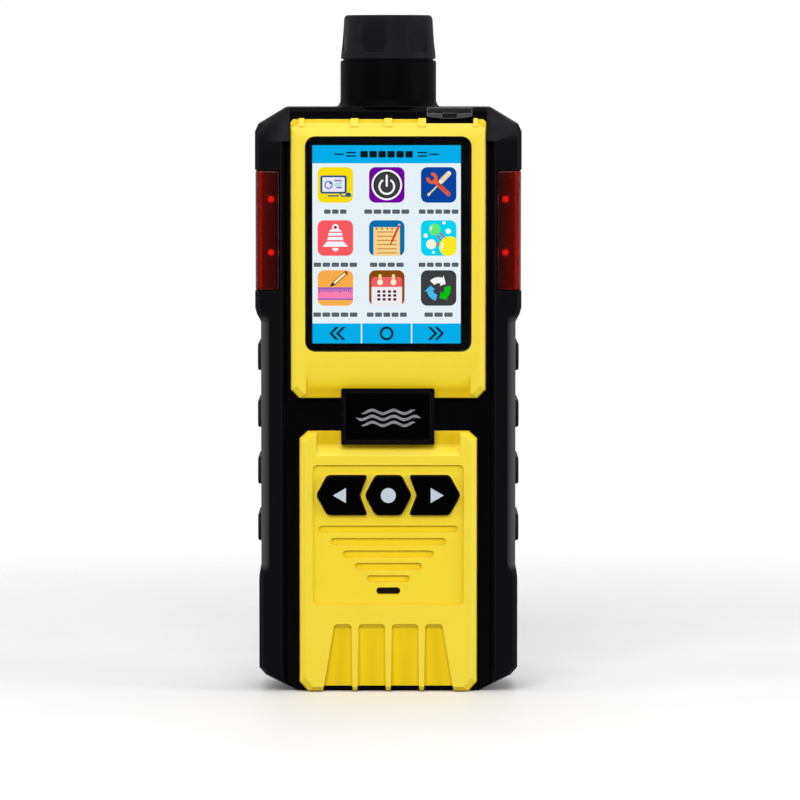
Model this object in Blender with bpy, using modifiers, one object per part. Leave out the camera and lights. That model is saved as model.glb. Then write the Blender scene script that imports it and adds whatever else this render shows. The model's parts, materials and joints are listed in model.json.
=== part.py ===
"""A portable gas detector with a sampling pump, as an assembly of separate pieces.

The front faces -Y, +X is to the user's right and +Z is up. The origin is on the flat base, under the
middle of the inlet neck. Sizes are in millimetres here, and MM turns them into Blender's metres.
"""

import math

import bmesh
import bpy
from mathutils import Matrix, Vector

MM = 0.001
GAP = 0.3  # clearance between neighbouring pieces

# The black body: its outline and its depth
BODY_HEIGHT = 170.0
BODY_FRONT = -18.0
BODY_REAR = 18.0
END_FRONT = -15.5  # the front face slopes back to this at the top and bottom
END_REAR = 15.5
END_HALF_WIDTH = 29.8
CORNER_HALF_WIDTH = 37.6
WING_HALF_WIDTH = 38.65
FOOT_END_HALF_WIDTH = 26.5  # the same three at the lower wing, which is slimmer
FOOT_CORNER_HALF_WIDTH = 35.7
FOOT_WING_HALF_WIDTH = 37.6
WAIST_HALF_WIDTH = 37.0
WAIST_MIDDLE = 72.5
WAIST_HALF_HEIGHT = 35.3
FLARE = 4.2  # height over which a wing narrows to the waist
CORNER_RISE = 4.7
WING_RISE = 7.0
FRONT_SLOPE_TOP = 160.0
PARTING = -2.5  # the plane where the two shells meet

# The channel down the front that holds the yellow panels
CHANNEL_HALF_WIDTH = 31.0
CHANNEL_FLOOR_HALF_WIDTH = 29.4
CHANNEL_FLOOR = -14.5
CHANNEL_NECK = 160.2  # above this the channel is only as wide as the panel in it
FLOOR_WALL = 2.2
PANEL_FRONT = -18.5
PANEL_BACK = CHANNEL_FLOOR - GAP
LEDGE = -16.9  # the low strip that the nameplate sits over
DISPLAY_PANEL_HALF_WIDTH = 28.3
KEYPAD_PANEL_HALF_WIDTH = 25.8

# The cavity inside the shells
CAVITY_HALF_WIDTH = 32.5
CAVITY_FRONT = CHANNEL_FLOOR + FLOOR_WALL
CAVITY_REAR = 15.3
CAVITY_LOW = 3.2
CAVITY_HIGH = 166.8

# Display
WINDOW_HALF_WIDTH = 23.85
WINDOW_LOW = 99.4
WINDOW_HIGH = 161.3
WINDOW_RADIUS = 2.7
WINDOW_FRONT = -18.2
WINDOW_BACK = -17.0
LCD_HALF_WIDTH = 25.0
LCD_LOW = 93.6
LCD_HIGH = 162.6
LCD_FRONT = -15.9
LCD_BACK = -13.4

# Keys
KEY_ROW = 57.4
KEY_HALF_HEIGHT = 5.9
KEY_FRONT = -19.3
KEY_POCKET_HALF_WIDTH = 22.4
KEY_POCKET_HALF_HEIGHT = 7.8
BOARD_FRONT = -12.0
BOARD_BACK = -10.4
BUZZER_HEIGHT = 29.4

# Alarm lenses and side rails
LENS_INNER = 31.65
LENS_OUTER = 38.5
LENS_LOW = 117.1
LENS_HIGH = 151.6
LENS_WALL = 1.6
LENS_REAR = -4.0
RAIL_INNER = 35.8
RAIL_FRONT = -14.2
RAIL_REAR = 13.0
RAIL_HALF_HEIGHT = 34.6
STUD_PITCH = 16.6
STUD_HEIGHT = 8.1
STUD_OUTER = 38.0

# Inlet neck and cap, both on the Z axis
NECK_RADIUS = 14.0
NECK_TOP = 183.55
FLANGE_RADIUS = 15.4
SPIGOT_RADIUS = 10.6
CAP_LOW = 183.9
CAP_HIGH = 196.7
CAP_CEILING = 191.2
CAP_RADIUS = 13.9
CAP_TOP_RADIUS = 12.9
CAP_SCOOPS = 6
SCOOP_TURN = -19.0  # degrees from the front to the first scoop
SOCKET_RADIUS = 3.5

# Charging-port cover
COVER_LEFT = 11.2
COVER_RIGHT = 24.3
COVER_FRONT = -16.5
COVER_HINGE = (-7.4, 169.2)
PORT_MIDDLE = (18.2, -10.4)

# Fasteners
SCREW_X = 29.5
SCREW_HEIGHTS = (14.0, 156.0)
BOSS_RADIUS = 3.6

# Belt clip
CLIP_PIVOT = (22.9, 108.0)
CLIP_SCREWS = (("left", -7.0), ("right", 7.0))
CLIP_SCREW_HEIGHT = 97.0
CLIP_HALF_WIDTH = 10.0

# Pump: the motor's axis runs along X through PUMP_Y, PUMP_Z
PUMP_Y = 3.0
PUMP_Z = 78.0
ROD_X = 3.0
ECCENTRICITY = 0.6

# Gas path
SENSOR_RADIUS = 10.0
SENSOR_PITCH = 22.4
SENSOR_MIDDLE = 126.7
MANIFOLD_FRONT = 8.3
MANIFOLD_REAR = 14.7

SIDES = (("left", -1), ("right", 1))

for old in list(bpy.data.objects):
    bpy.data.objects.remove(old, do_unlink=True)

parts = bpy.data.collections.new("portable_gas_detector")
cutters = bpy.data.collections.new("cutters")
for made_collection in (parts, cutters):
    bpy.context.scene.collection.children.link(made_collection)


# ---------------------------------------------------------------- materials

COLOURS = {  # base colour, roughness, metallic
    "black_plastic": ((0.012, 0.012, 0.014), 0.5, 0.0),
    "yellow_plastic": ((0.85, 0.63, 0.035), 0.42, 0.0),
    "black_gloss": ((0.004, 0.004, 0.005), 0.15, 0.0),
    "rubber": ((0.022, 0.021, 0.021), 0.75, 0.0),
    "red_lens": ((0.30, 0.015, 0.008), 0.2, 0.0),
    "glass": ((0.006, 0.007, 0.009), 0.05, 0.0),
    "display": ((0.10, 0.45, 0.80), 0.4, 0.0),
    "board": ((0.01, 0.13, 0.04), 0.45, 0.0),
    "steel": ((0.55, 0.55, 0.56), 0.3, 1.0),
    "light_plastic": ((0.62, 0.62, 0.58), 0.5, 0.0),
    "silicone": ((0.60, 0.62, 0.62), 0.6, 0.0),
    "battery_wrap": ((0.03, 0.10, 0.32), 0.4, 0.0),
    "label": ((0.55, 0.56, 0.57), 0.5, 0.0),
}


def material(name):
    """The named Principled material, made on first use."""
    found = bpy.data.materials.get(name)
    if found:
        return found
    colour, roughness, metallic = COLOURS[name]
    made = bpy.data.materials.new(name)
    made.use_nodes = True
    shader = made.node_tree.nodes["Principled BSDF"]
    shader.inputs["Base Color"].default_value = (*colour, 1.0)
    shader.inputs["Roughness"].default_value = roughness
    shader.inputs["Metallic"].default_value = metallic
    return made


# ---------------------------------------------------------------- shapes


def place(name, bm, location=(0, 0, 0)):
    """A new object from a bmesh in metres, with its origin at a place in millimetres."""
    bmesh.ops.recalc_face_normals(bm, faces=bm.faces)
    mesh = bpy.data.meshes.new(name)
    bm.to_mesh(mesh)
    bm.free()
    obj = bpy.data.objects.new(name, mesh)
    obj.location = Vector(location) * MM
    parts.objects.link(obj)
    return obj


def box(name, low, high):
    """A cuboid between two corners."""
    size = [(b - a) * MM for a, b in zip(low, high)]
    centre = [(a + b) / 2 for a, b in zip(low, high)]
    bm = bmesh.new()
    bmesh.ops.create_cube(bm, size=1, matrix=Matrix.Diagonal((*size, 1)))
    return place(name, bm, centre)


ALONG = {
    "X": Matrix.Rotation(math.pi / 2, 4, "Y"),
    "Y": Matrix.Rotation(-math.pi / 2, 4, "X"),
    "Z": Matrix.Identity(4),
}


def cylinder(name, axis, start, length, radius, end_radius=None, sides=24):
    """A cylinder or cone that runs from the middle of its first end along an axis."""
    direction = ALONG[axis].to_3x3() @ Vector((0, 0, 1))
    bm = bmesh.new()
    bmesh.ops.create_cone(
        bm,
        cap_ends=True,
        segments=sides,
        radius1=radius * MM,
        radius2=(radius if end_radius is None else end_radius) * MM,
        depth=length * MM,
        matrix=ALONG[axis],
    )
    return place(name, bm, Vector(start) + direction * length / 2)


# A curve's own X, Y and extrusion, as rows of the object's X, Y and Z
FACING = {
    "X": Matrix(((0, 0, 1), (1, 0, 0), (0, 1, 0))).to_4x4(),
    "Y": Matrix(((1, 0, 0), (0, 0, -1), (0, 1, 0))).to_4x4(),
    "Z": Matrix.Identity(4),
}


def prism(name, axis, low, high, *outlines):
    """A flat shape, thick from low to high along an axis. The first outline is its edge, the rest are holes."""
    curve = bpy.data.curves.new(name, "CURVE")
    curve.dimensions = "2D"
    curve.fill_mode = "BOTH"
    curve.extrude = (high - low) / 2 * MM
    for outline in outlines:
        spline = curve.splines.new("POLY")
        spline.points.add(len(outline) - 1)
        for point, (across, up) in zip(spline.points, outline):
            point.co = (across * MM, up * MM, 0, 1)
        spline.use_cyclic_u = True
    flat = bpy.data.objects.new(name, curve)
    flat.matrix_world = FACING[axis]
    parts.objects.link(flat)
    bpy.context.view_layer.update()
    evaluated = flat.evaluated_get(bpy.context.evaluated_depsgraph_get())
    bm = bmesh.new()
    bm.from_mesh(bpy.data.meshes.new_from_object(evaluated))
    bm.transform(flat.matrix_world)
    bpy.data.objects.remove(flat)
    bmesh.ops.remove_doubles(bm, verts=bm.verts, dist=1e-7)
    middle = [(low + high) / 2 if axis == own else 0 for own in "XYZ"]
    return place(name, bm, middle)


def loft(name, rings):
    """A closed skin over rings of matching points, capped at both ends."""
    bm = bmesh.new()
    levels = [[bm.verts.new(Vector(point) * MM) for point in ring] for ring in rings]
    for lower, upper in zip(levels, levels[1:]):
        for i in range(len(lower)):
            j = (i + 1) % len(lower)
            bm.faces.new((lower[i], lower[j], upper[j], upper[i]))
    bm.faces.new(levels[0])
    bm.faces.new(levels[-1])
    return place(name, bm)


def turned(name, profile, sides=40):
    """A ring turned about the Z axis. Its profile runs down the outer side and back up the inner one."""
    bm = bmesh.new()
    corners = [bm.verts.new((radius * MM, 0, height * MM)) for radius, height in profile]
    for i, corner in enumerate(corners):
        bm.edges.new((corner, corners[(i + 1) % len(corners)]))
    obj = place(name, bm)
    screw = obj.modifiers.new("turn", "SCREW")
    screw.steps = screw.render_steps = sides
    screw.use_merge_vertices = True
    screw.merge_threshold = 1e-6
    return obj


def smooth_route(points, steps=5):
    """Points on a smooth curve through a few chosen ones."""
    ends = [2 * Vector(points[0]) - Vector(points[1]), 2 * Vector(points[-1]) - Vector(points[-2])]
    knots = [ends[0], *map(Vector, points), ends[1]]
    route = []
    for a, b, c, d in zip(knots, knots[1:], knots[2:], knots[3:]):
        for step in range(steps):
            t = step / steps
            bent = (2 * a - 5 * b + 4 * c - d) * t**2 + (3 * b - a - 3 * c + d) * t**3
            route.append(0.5 * (2 * b + (c - a) * t + bent))
    return [*route, knots[-2]]


def wire(name, points, radius):
    """A round wire or tube along points, with closed ends."""
    curve = bpy.data.curves.new(name, "CURVE")
    curve.dimensions = "3D"
    curve.bevel_depth = radius * MM
    curve.bevel_resolution = 2
    curve.use_fill_caps = True
    spline = curve.splines.new("POLY")
    spline.points.add(len(points) - 1)
    for point, place_at in zip(spline.points, points):
        point.co = (*(Vector(place_at) * MM), 1)
    obj = bpy.data.objects.new(name, curve)
    parts.objects.link(obj)
    return obj


def rectangle(low_across, low_up, high_across, high_up, radius=0.0, steps=4):
    """A rectangle's outline, anticlockwise, with rounded corners if a radius is given."""
    if not radius:
        return [(low_across, low_up), (high_across, low_up), (high_across, high_up), (low_across, high_up)]
    corners = (
        (high_across - radius, low_up + radius, -90),
        (high_across - radius, high_up - radius, 0),
        (low_across + radius, high_up - radius, 90),
        (low_across + radius, low_up + radius, 180),
    )
    outline = []
    for across, up, start in corners:
        for step in range(steps + 1):
            angle = math.radians(start + 90 * step / steps)
            outline.append((across + radius * math.cos(angle), up + radius * math.sin(angle)))
    return outline


def circle(across, up, radius, sides=24):
    """A circle's outline."""
    turns = [2 * math.pi * i / sides for i in range(sides)]
    return [(across + radius * math.cos(t), up + radius * math.sin(t)) for t in turns]


def grown(outline, by):
    """An anticlockwise outline with every edge moved outwards."""
    result = []
    for before, here, after in zip(outline[-1:] + outline[:-1], outline, outline[1:] + outline[:1]):
        along_in = (Vector(here) - Vector(before)).normalized()
        along_out = (Vector(after) - Vector(here)).normalized()
        out_in = Vector((along_in.y, -along_in.x))
        bisector = (out_in + Vector((along_out.y, -along_out.x))).normalized()
        result.append(tuple(Vector(here) + bisector * (by / bisector.dot(out_in))))
    return result


def boolean(target, operation, tools):
    """Cuts, joins or trims the target with tools, which leave the assembly."""
    for tool in tools:
        modifier = target.modifiers.new(tool.name, "BOOLEAN")
        modifier.operation = operation
        modifier.object = tool
        if tool.name not in cutters.objects:
            parts.objects.unlink(tool)
            cutters.objects.link(tool)
            tool.hide_render = True
            tool.display_type = "WIRE"
    return target


def cut(target, *tools):
    return boolean(target, "DIFFERENCE", tools)


def fuse(target, *tools):
    return boolean(target, "UNION", tools)


def trim(target, tool):
    return boolean(target, "INTERSECT", [tool])


def chamfer(obj, width, angle=30):
    """Breaks the edges that are sharper than an angle."""
    bevel = obj.modifiers.new("chamfer", "BEVEL")
    bevel.width = width * MM
    bevel.segments = 1
    bevel.limit_method = "ANGLE"
    bevel.angle_limit = math.radians(angle)
    return obj


def finish(obj, material_name, origin=None):
    """Gives a piece its material and, if it moves, its origin on its joint's axis."""
    obj.data.materials.append(material(material_name))
    if origin is not None:
        place_at = Vector(origin) * MM
        obj.data.transform(Matrix.Translation(obj.location - place_at))
        obj.location = place_at
    return obj


# ---------------------------------------------------------------- housing


def body_ring(height, half_width, front, rear, front_corner, rear_corner):
    """One level of the body: a rectangle with its four corners cut off."""
    (front_in, front_back), (rear_in, rear_back) = front_corner, rear_corner
    half = (
        (half_width - front_in, front),
        (half_width, front + front_back),
        (half_width, rear - rear_back),
        (half_width - rear_in, rear),
    )
    mirrored = [(-across, deep) for across, deep in reversed(half)]
    return [(across, deep, height) for across, deep in (*half, *mirrored)]


def outer_form(name):
    """The whole body as one solid: a wing at each end and a narrower waist between them."""
    wing = ((1.2, 1.5), (4.0, 4.5))
    waist = ((2.2, 3.0), (4.0, 4.5))
    end = ((0.8, 0.8), (2.5, 2.5))
    front_slope = (BODY_FRONT - END_FRONT) / (BODY_HEIGHT - FRONT_SLOPE_TOP)
    flare_low = WAIST_MIDDLE - WAIST_HALF_HEIGHT - FLARE
    flare_high = WAIST_MIDDLE + WAIST_HALF_HEIGHT + FLARE
    foot_shoulder = (FOOT_WING_HALF_WIDTH - 0.2, FLARE * 0.45)
    flare_shoulder = (WING_HALF_WIDTH - 0.5, FLARE * 0.45)

    def sloped(below_top):
        return BODY_FRONT - front_slope * (BODY_HEIGHT - FRONT_SLOPE_TOP - below_top)

    low_corner = END_FRONT + (BODY_FRONT - END_FRONT) * CORNER_RISE / WING_RISE
    top_corner = sloped(CORNER_RISE)
    top_wing = sloped(WING_RISE)
    return loft(
        name,
        [
            body_ring(0, FOOT_END_HALF_WIDTH, END_FRONT, END_REAR, *end),
            body_ring(CORNER_RISE, FOOT_CORNER_HALF_WIDTH, low_corner, -low_corner, *wing),
            body_ring(WING_RISE, FOOT_WING_HALF_WIDTH, BODY_FRONT, BODY_REAR, *wing),
            body_ring(flare_low, FOOT_WING_HALF_WIDTH, BODY_FRONT, BODY_REAR, *wing),
            body_ring(flare_low + foot_shoulder[1], foot_shoulder[0], BODY_FRONT, BODY_REAR, *wing),
            body_ring(flare_low + FLARE, WAIST_HALF_WIDTH, BODY_FRONT, BODY_REAR, *waist),
            body_ring(flare_high - FLARE, WAIST_HALF_WIDTH, BODY_FRONT, BODY_REAR, *waist),
            body_ring(flare_high - flare_shoulder[1], flare_shoulder[0], BODY_FRONT, BODY_REAR, *wing),
            body_ring(flare_high, WING_HALF_WIDTH, BODY_FRONT, BODY_REAR, *wing),
            body_ring(FRONT_SLOPE_TOP, WING_HALF_WIDTH, BODY_FRONT, BODY_REAR, *wing),
            body_ring(BODY_HEIGHT - WING_RISE, WING_HALF_WIDTH, top_wing, -top_wing, *wing),
            body_ring(BODY_HEIGHT - CORNER_RISE, CORNER_HALF_WIDTH, top_corner, -top_corner, *wing),
            body_ring(BODY_HEIGHT, END_HALF_WIDTH, END_FRONT, END_REAR, *end),
        ],
    )


def cavity_cutter():
    """The space inside the shells, with its corners kept clear of the bevelled outer ones."""
    narrow = CAVITY_HALF_WIDTH - 5
    outline = [
        (narrow, CAVITY_LOW),
        (CAVITY_HALF_WIDTH, CAVITY_LOW + 3.8),
        (CAVITY_HALF_WIDTH, CAVITY_HIGH - 3.8),
        (narrow, CAVITY_HIGH),
    ]
    outline += [(-across, up) for across, up in reversed(outline)]
    return prism("cavity", "Y", CAVITY_FRONT, CAVITY_REAR, outline)


def shared_cutters():
    """What is cut from both shells: the cavity, the neck's hole and the side rails' recesses."""
    tools = [cavity_cutter(), cylinder("neck_hole", "Z", (0, 0, 160), 15, 8.0 + GAP, sides=32)]
    for side, sign in SIDES:
        inner, outer = sorted((sign * (RAIL_INNER - GAP), sign * 45))
        outline = rectangle(
            RAIL_FRONT - GAP,
            WAIST_MIDDLE - RAIL_HALF_HEIGHT - GAP,
            RAIL_REAR + GAP,
            WAIST_MIDDLE + RAIL_HALF_HEIGHT + GAP,
            2.3,
        )
        tools.append(prism(f"{side}_rail_recess", "X", inner, outer, outline))
    return tools


def screw_places():
    """The four housing screws: name, x and height."""
    for side, sign in SIDES:
        for level, height in zip(("lower", "upper"), SCREW_HEIGHTS):
            yield f"{side}_{level}", sign * SCREW_X, height


def front_housing(shared):
    shell = outer_form("front_housing")
    trim(shell, box("front_half", (-60, -40, -10), (60, PARTING - GAP / 2, 190)))
    channel = [
        (CHANNEL_HALF_WIDTH, BODY_FRONT - 1),
        (CHANNEL_HALF_WIDTH, BODY_FRONT),
        (CHANNEL_FLOOR_HALF_WIDTH, CHANNEL_FLOOR),
    ]
    channel += [(-across, deep) for across, deep in reversed(channel)]
    top_edge = [(CHANNEL_FLOOR - 1, BODY_HEIGHT - 2.2), (CHANNEL_FLOOR + 2.2, BODY_HEIGHT + 1)]
    top_edge.append((CHANNEL_FLOOR - 1, BODY_HEIGHT + 1))
    neck_half_width = DISPLAY_PANEL_HALF_WIDTH + GAP
    neck = box(
        "channel_neck",
        (-neck_half_width, BODY_FRONT - 1, CHANNEL_NECK - 1),
        (neck_half_width, CHANNEL_FLOOR, BODY_HEIGHT + 5),
    )
    cut(shell, prism("channel", "Z", -5, CHANNEL_NECK, channel), neck, *shared)
    cut(shell, prism("top_edge", "X", -DISPLAY_PANEL_HALF_WIDTH, DISPLAY_PANEL_HALF_WIDTH, top_edge))
    for name, across, height in screw_places():
        fuse(shell, cylinder(f"{name}_front_boss", "Y", (across, -12.9, height), 9.9, BOSS_RADIUS))
        cut(shell, cylinder(f"{name}_pilot", "Y", (across, -11.2, height), 12, 1.5 + GAP, sides=12))
    through = (CHANNEL_FLOOR - 1, CAVITY_FRONT + 1)
    display_hole = rectangle(-LCD_HALF_WIDTH - 0.4, LCD_LOW - 0.4, LCD_HALF_WIDTH + 0.4, LCD_HIGH + 0.4)
    key_hole = rectangle(
        -KEY_POCKET_HALF_WIDTH,
        KEY_ROW - KEY_POCKET_HALF_HEIGHT,
        KEY_POCKET_HALF_WIDTH,
        KEY_ROW + KEY_POCKET_HALF_HEIGHT,
    )
    cut(
        shell,
        prism("display_hole", "Y", *through, display_hole),
        prism("key_hole", "Y", *through, key_hole),
        prism("sound_hole", "Y", *through, sound_slot()),
    )
    for side, sign in SIDES:
        inner, outer = sorted((sign * (LENS_INNER - GAP), sign * 45))
        low = (inner, BODY_FRONT - 5, LENS_LOW - GAP)
        cut(shell, box(f"{side}_lens_pocket", low, (outer, LENS_REAR + GAP, LENS_HIGH + GAP)))
    cover_seat = box(
        "cover_seat",
        (COVER_LEFT - GAP, BODY_FRONT - 5, 168.3),
        (COVER_RIGHT + GAP, COVER_HINGE[0] + 1.05, BODY_HEIGHT + 5),
    )
    port_x, port_y = PORT_MIDDLE
    port_hole = box("port_hole", (port_x - 5.2, port_y - 2.8, 160), (port_x + 5.2, port_y + 2.5, 175))
    cut(shell, cover_seat, port_hole)
    return finish(shell, "black_plastic")


def rear_housing(shared):
    shell = outer_form("rear_housing")
    trim(shell, box("rear_half", (-60, PARTING + GAP / 2, -10), (60, 40, 190)))
    cut(shell, *shared)
    for name, across, height in screw_places():
        fuse(shell, cylinder(f"{name}_rear_boss", "Y", (across, PARTING + GAP, height), 18.2, BOSS_RADIUS))
        cut(
            shell,
            cylinder(f"{name}_clearance", "Y", (across, -5, height), 25, 1.5 + GAP, sides=12),
            cylinder(f"{name}_counterbore", "Y", (across, 14.5, height), 10, 3.1, sides=20),
        )
    for side, across in CLIP_SCREWS:
        fuse(shell, cylinder(f"{side}_clip_boss", "Y", (across, 12.8, CLIP_SCREW_HEIGHT), 2.9, 3.4, sides=16))
        cut(shell, cylinder(f"{side}_clip_pilot", "Y", (across, 10, CLIP_SCREW_HEIGHT), 12, 1.4, sides=12))
    groove = prism("gasket_groove", "Y", PARTING - 1, PARTING + 1.1, *seal_outlines(0.35))
    label_recess = prism("label_recess", "Y", 17.4, 25, rectangle(-20.3, 20.7, 20.3, 51.3, 1.8))
    vent = cylinder("vent_hole", "Y", (22, 10, 92), 12, 2.2 + GAP, sides=16)
    return finish(cut(shell, groove, label_recess, vent), "black_plastic")


def seal_outlines(spread):
    """The gasket's two edges in the parting plane, each moved away from its middle by a spread."""
    narrow = CAVITY_HALF_WIDTH - 5
    bent = [
        (narrow, 1.9),
        (CAVITY_HALF_WIDTH + 1.3, 6.6),
        (CAVITY_HALF_WIDTH + 1.3, BODY_HEIGHT - 6.6),
        (narrow, BODY_HEIGHT - 1.75),
    ]
    middle = bent + [(-across, up) for across, up in reversed(bent)]
    return grown(middle, 0.4 + spread), grown(middle, -0.4 - spread)


def housing_gasket():
    """The cord seal in the rear shell's groove, stopped either side of the neck's hole."""
    ring = prism("housing_gasket", "Y", PARTING, PARTING + 0.75, *seal_outlines(0.0))
    return finish(cut(ring, box("gasket_stop", (-9, -9, 160), (9, 9, 175))), "rubber")


def housing_screws():
    for name, across, height in screw_places():
        screw = cylinder(f"{name}_screw", "Y", (across, -10.4, height), 25.4, 1.5, sides=12)
        fuse(screw, cylinder(f"{name}_head", "Y", (across, 14.8, height), 2.0, 2.7, sides=18))
        cut(screw, cylinder(f"{name}_socket", "Y", (across, 15.6, height), 3, 1.4, sides=6))
        finish(screw, "steel")


# ---------------------------------------------------------------- yellow panels and display


def panel_outline(half_width, low, high, low_cut, high_cut):
    """A rectangle with its corners cut off, by (across, up) at each end."""
    half = [
        (half_width - low_cut[0], low),
        (half_width, low + low_cut[1]),
        (half_width, high - high_cut[1]),
        (half_width - high_cut[0], high),
    ]
    return half + [(-across, up) for across, up in reversed(half)]


def panel(name, half_width, low, high, low_cut, high_cut, back_high, back_cut):
    """A yellow panel: a back layer as high as its ribs, and a front with cut corners and a sloped rim."""
    back = panel_outline(half_width, low, back_high, low_cut, back_cut)
    front = panel_outline(half_width - 0.3, low + 0.2, high - 0.3, low_cut, high_cut)
    rim = panel_outline(half_width - 1.6, low + 1.4, high - 1.1, low_cut, high_cut)
    levels = ((PANEL_BACK, back), (-16.4, back), (-16.4, front), (-17.5, front), (PANEL_FRONT, rim))
    return loft(name, [[(across, deep, up) for across, up in outline] for deep, outline in levels])


def ledge_cutter(name, half_width, slope_start, slope_end, end):
    """What is cut from a panel's end: a slope down to the low strip that the nameplate sits over."""
    start = [(PANEL_FRONT - 1, slope_start), (PANEL_FRONT, slope_start)]
    return prism(name, "X", -half_width, half_width, [*start, (LEDGE, slope_end), (LEDGE, end), (PANEL_FRONT - 1, end)])


def display_bezel():
    low, high, back_high = 85.6, 165.8, 166.5
    bezel = panel(
        "display_bezel", DISPLAY_PANEL_HALF_WIDTH, low, high, (2.4, 2.4), (2.3, 1.7), back_high, (0.8, 0.8)
    )
    top_slope = [(-19.0, 159.3), (-16.5, 168.9), (-21.0, 168.9), (-21.0, 159.3)]
    cut(bezel, prism("top_slope", "X", -40, 40, top_slope))
    for number, (middle, half) in enumerate(((-25.1, 0.8), (-9.8, 1.1), (0, 1.1), (9.8, 1.1), (25.3, 0.6))):
        side = [(-17.95, 164.4), (-15.4, 164.4), (-15.4, 166.8), (-17.1, 166.8), (-17.55, 166.3)]
        fuse(bezel, prism(f"top_rib_{number}", "X", middle - half, middle + half, side))
    aperture = grown(window_outline(), GAP)
    pocket = rectangle(-LCD_HALF_WIDTH - 0.4, LCD_LOW - 0.4, LCD_HALF_WIDTH + 0.4, LCD_HIGH + 0.4)
    cut(
        bezel,
        prism("window_aperture", "Y", PANEL_FRONT - 2, LCD_FRONT, aperture),
        prism("display_pocket", "Y", LCD_FRONT - GAP, PANEL_BACK + 1, pocket),
        ledge_cutter("upper_ledge", 23.9, 92.5, 87.9, low - 1),
        box("under_cover", (COVER_LEFT - GAP, PANEL_FRONT - 1, 165.3), (COVER_RIGHT + GAP, PANEL_BACK + 1, 169)),
    )
    return finish(bezel, "yellow_plastic")


def sound_slot():
    return rectangle(-3.5, BUZZER_HEIGHT - 1.05, 3.5, BUZZER_HEIGHT + 1.05, 1.0, 5)


def key_holes():
    """The outlines of the three keys' holes, anticlockwise. Each key is a gap smaller all round."""
    tall = KEY_HALF_HEIGHT
    middle = [(6.9, 0), (3.8, tall), (-3.8, tall), (-6.9, 0), (-3.8, -tall), (3.8, -tall)]
    right = [(8.25, 0), (5.93, -tall), (17.8, -tall), (21.07, 0), (17.8, tall), (5.93, tall)]
    left = [(-across, up) for across, up in reversed(right)]
    placed = {"key_left": left, "key_ok": middle, "key_right": right}
    return {name: [(across, up + KEY_ROW) for across, up in outline] for name, outline in placed.items()}


def keypad_bezel():
    high = 76.0
    bezel = panel("keypad_bezel", KEYPAD_PANEL_HALF_WIDTH, 0.0, high, (2.4, 2.7), (2.4, 2.1), high, (2.4, 2.1))
    key_pocket = rectangle(
        -KEY_POCKET_HALF_WIDTH,
        KEY_ROW - KEY_POCKET_HALF_HEIGHT,
        KEY_POCKET_HALF_WIDTH,
        KEY_ROW + KEY_POCKET_HALF_HEIGHT,
    )
    cut(
        bezel,
        ledge_cutter("lower_ledge", 20.9, 68.8, 72.1, high + 1),
        prism("sunk_field", "Y", PANEL_FRONT - 1, PANEL_FRONT + 0.6, rectangle(-22, 25.2, 22, 66.2, 1.4, 5)),
        prism("key_pocket", "Y", -16.5, PANEL_BACK + 1, key_pocket),
        prism("sound_slot", "Y", PANEL_FRONT - 1, PANEL_BACK + 1, sound_slot()),
    )
    for name, outline in key_holes().items():
        cut(bezel, prism(f"{name}_hole", "Y", PANEL_FRONT - 1, -16, outline))
    for step in range(5):
        half_length, height = 20.3 - 3.5 * step, 47.4 - 3.63 * step
        pill = rectangle(-half_length, height - 1.1, half_length, height + 1.1, 1.05, 5)
        cut(bezel, prism(f"pill_{step}", "Y", PANEL_FRONT - 1, PANEL_FRONT + 1.25, pill))
    cut(bezel, grille_cutter())
    return finish(bezel, "yellow_plastic")


def arc(across, up, radius, start, end, steps=5):
    """Points round part of a circle, by angles in degrees."""
    turns = [math.radians(start + (end - start) * step / steps) for step in range(steps + 1)]
    return [(across + radius * math.cos(turn), up + radius * math.sin(turn)) for turn in turns]


def grille_cutter():
    """Four sloping bays at the foot of the keypad panel, between round-ended ribs that narrow downwards."""
    bay_top, bay_floor, corner = 19.8, 1.5, 1.2
    rib_pitch, rib_top, rib_foot, tip = 9.7, 0.97, 0.74, 0.15
    outer_top, outer_foot = 15.9, 19.4
    ribs = (-rib_pitch, 0.0, rib_pitch)
    left_walls = [-outer_top, *(rib + rib_top for rib in ribs)]
    right_walls = [*(rib - rib_top for rib in ribs), outer_top]
    comb = [(-outer_foot, -2)]
    for left, right, rib in zip(left_walls, right_walls, (*ribs, None)):
        comb += arc(left + corner, bay_top - corner, corner, 180, 90)
        comb += arc(right - corner, bay_top - corner, corner, 90, 0)
        if rib is not None:
            comb += arc(rib, tip + rib_foot, rib_foot, 180, 360, 8)
    comb.append((outer_foot, -2))
    slope = [
        (PANEL_FRONT - 3.5, 25),
        (PANEL_FRONT - 0.5, 20.7),
        (PANEL_FRONT + 1.4, 18.4),
        (PANEL_FRONT + 2.4, bay_floor),
        (PANEL_BACK + 2, bay_floor),
        (PANEL_BACK + 2, -3),
        (PANEL_FRONT - 3.5, -3),
    ]
    return trim(prism("bays", "Y", -21, -12, comb), prism("bay_slope", "X", -25, 25, slope))


def keys():
    """Three keycaps with lugs behind the panel, each over its own rubber dome."""
    for name, outline in key_holes().items():
        middle = sum(across for across, _ in outline) / len(outline)
        cap = chamfer(prism(name, "Y", KEY_FRONT, -15.5, grown(outline, -GAP)), 0.4)
        low, high = (middle - 2.8, -16.15, KEY_ROW - 7), (middle + 2.8, -15.1, KEY_ROW + 7)
        fuse(cap, box(f"{name}_lugs", low, high))
        finish(cap, "black_gloss", (middle, KEY_FRONT, KEY_ROW))
        start = (middle, BOARD_FRONT - GAP - 1.7, KEY_ROW)
        dome = cylinder(name.replace("key", "dome"), "Y", start, 1.7, 2.2, 3.6, sides=20)
        finish(dome, "silicone")


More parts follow.
